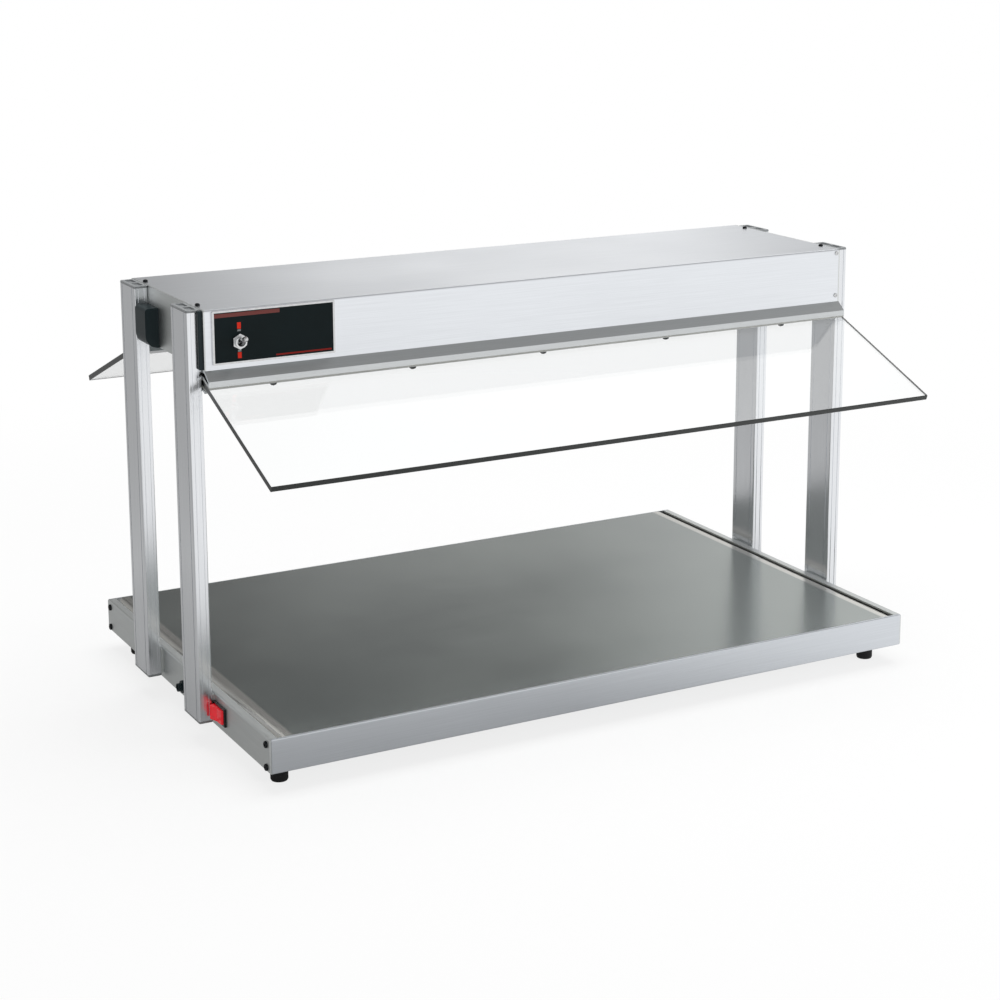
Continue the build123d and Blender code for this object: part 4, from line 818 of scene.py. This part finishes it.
world = bpy.data.worlds.new("white studio")
bpy.context.scene.world = world
world.use_nodes = True
tree = world.node_tree
tree.nodes.clear()
ray_way = add(tree, "TexCoord").outputs["Generated"]
flat_way = add(tree, "VectorMath", {0: ray_way, 1: (1.0, 1.0, 0.0)}, operation="MULTIPLY")
flat_way = add(tree, "VectorMath", {0: flat_way.outputs[0]}, operation="NORMALIZE")


def toward(azimuth, edge, core, most=1.0):
    """A mask of the rays that point to an azimuth: 0 where the cosine of the angle beside it is
    under edge, and most where it is over core."""
    way = (sin(radians(azimuth)), cos(radians(azimuth)), 0.0)
    beside = add(tree, "VectorMath", {0: flat_way.outputs[0], 1: way}, operation="DOT_PRODUCT")
    return add(tree, "MapRange", {"Value": beside.outputs["Value"], "From Min": edge,
                                  "From Max": core, "To Max": most},
               interpolation_type="SMOOTHSTEP").outputs[0]


along = add(tree, "VectorMath", {0: flat_way.outputs[0], 1: bright_side}, operation="DOT_PRODUCT")
walls = add(tree, "MapRange", {"Value": along.outputs["Value"], "From Min": dark_wall_end,
                               "From Max": white_wall_end, "To Min": dark_wall, "To Max": 1.0},
            interpolation_type="SMOOTHSTEP")
window = toward(window_azimuth, cos(radians(window_half_width)), 1.0, window_gain)
left_wall = toward(left_azimuth, 0.4, 0.95, left_gain)
walls = add(tree, "Math", {0: walls.outputs[0], 1: window}, operation="ADD")
walls = add(tree, "Math", {0: walls.outputs[0], 1: left_wall}, operation="ADD")
height = add(tree, "SeparateXYZ", {0: ray_way}).outputs[2]
ceiling = add(tree, "MapRange", {"Value": height, "From Min": ceiling_start,
                                 "From Max": ceiling_end, "To Min": 1.0, "To Max": ceiling_tone},
              interpolation_type="SMOOTHSTEP")
graded = add(tree, "Math", {0: walls.outputs[0], 1: ceiling.outputs[0]}, operation="MULTIPLY")
above = add(tree, "MapRange", {"Value": height, "From Min": horizon_start,
                               "From Max": horizon_end}, interpolation_type="SMOOTHSTEP")
card = toward(card_azimuth, cos(radians(card_half_width)), cos(radians(card_core)))
gain = add(tree, "MapRange", {"Value": above.outputs[0], "To Min": under_card_gain,
                              "To Max": card_gain})
card = add(tree, "Math", {0: card, 1: gain.outputs[0]}, operation="MULTIPLY")
graded = add(tree, "Math", {0: graded.outputs[0], 1: card.outputs[0]}, operation="ADD")
flag = toward(flag_azimuth, cos(radians(flag_half_width)), cos(radians(flag_core)))
below = add(tree, "MapRange", {"Value": height, "From Min": flag_top_start,
                               "From Max": flag_top_end, "To Min": 1.0, "To Max": 0.0},
            interpolation_type="SMOOTHSTEP")
flag = add(tree, "Math", {0: flag, 1: above.outputs[0]}, operation="MULTIPLY")
flag = add(tree, "Math", {0: flag.outputs[0], 1: below.outputs[0]}, operation="MULTIPLY")
graded = add(tree, "Mix", {0: flag.outputs[0], 2: graded.outputs[0], 3: flag_tone})
plain, glossy = ray_kinds(tree)
surround = add(tree, "Mix", {0: glossy, 2: weak_surround, 3: graded.outputs[0]})
surround = add(tree, "Mix", {0: plain, 2: surround.outputs[0], 3: 1.0})
back = add(tree, "Background", {"Color": (1, 1, 1, 1), "Strength": surround.outputs[0]})
out = add(tree, "OutputWorld")
tree.links.new(back.outputs[0], out.inputs["Surface"])


def lamp(name, place, target, size, depth, power):
    """A rectangular soft lamp at a place, aimed at a target."""
    light = bpy.data.lights.new(name, "AREA")
    light.shape = "RECTANGLE"
    light.size = size
    light.size_y = depth
    light.energy = power
    holder = bpy.data.objects.new(name, light)
    holder.location = place
    aim = Vector(target) - Vector(place)
    holder.rotation_euler = aim.to_track_quat("-Z", "Y").to_euler()
    holder.visible_camera = False
    holder.visible_glossy = False  # metal and glass show the surround, with no hard-edged lamp
    holder.visible_transmission = False
    bpy.context.scene.collection.objects.link(holder)


lamp("overhead softbox", place=(0.3, 0.2, 2.6), target=(0, 0, 0.2), size=2.4, depth=2.4, power=62)
lamp("front right softbox", place=(1.7, -2.3, 0.9), target=(0.2, 0, 0.25), size=1.6, depth=1.2,
     power=26)


# Camera
# Stands to the left of the front, a little above the hood, as in the photograph.
camera_place = (-1.1236, -2.0914, 0.8602)
camera_yaw = radians(29.07)
camera_pitch = radians(11.92)
camera_lens = 78.0  # millimetres on a 36 mm sensor
camera_shift = (-0.03, -0.15)
clip_near, clip_far = 0.05, 200.0

lens = bpy.data.cameras.new("camera")
lens.lens = camera_lens
lens.shift_x, lens.shift_y = camera_shift
lens.clip_start, lens.clip_end = clip_near, clip_far
camera = bpy.data.objects.new("camera", lens)
camera.location = camera_place
camera.rotation_euler = (pi / 2 - camera_pitch, 0, -camera_yaw)
bpy.context.scene.collection.objects.link(camera)
bpy.context.scene.camera = camera
bpy.context.scene.view_settings.view_transform = "Standard"
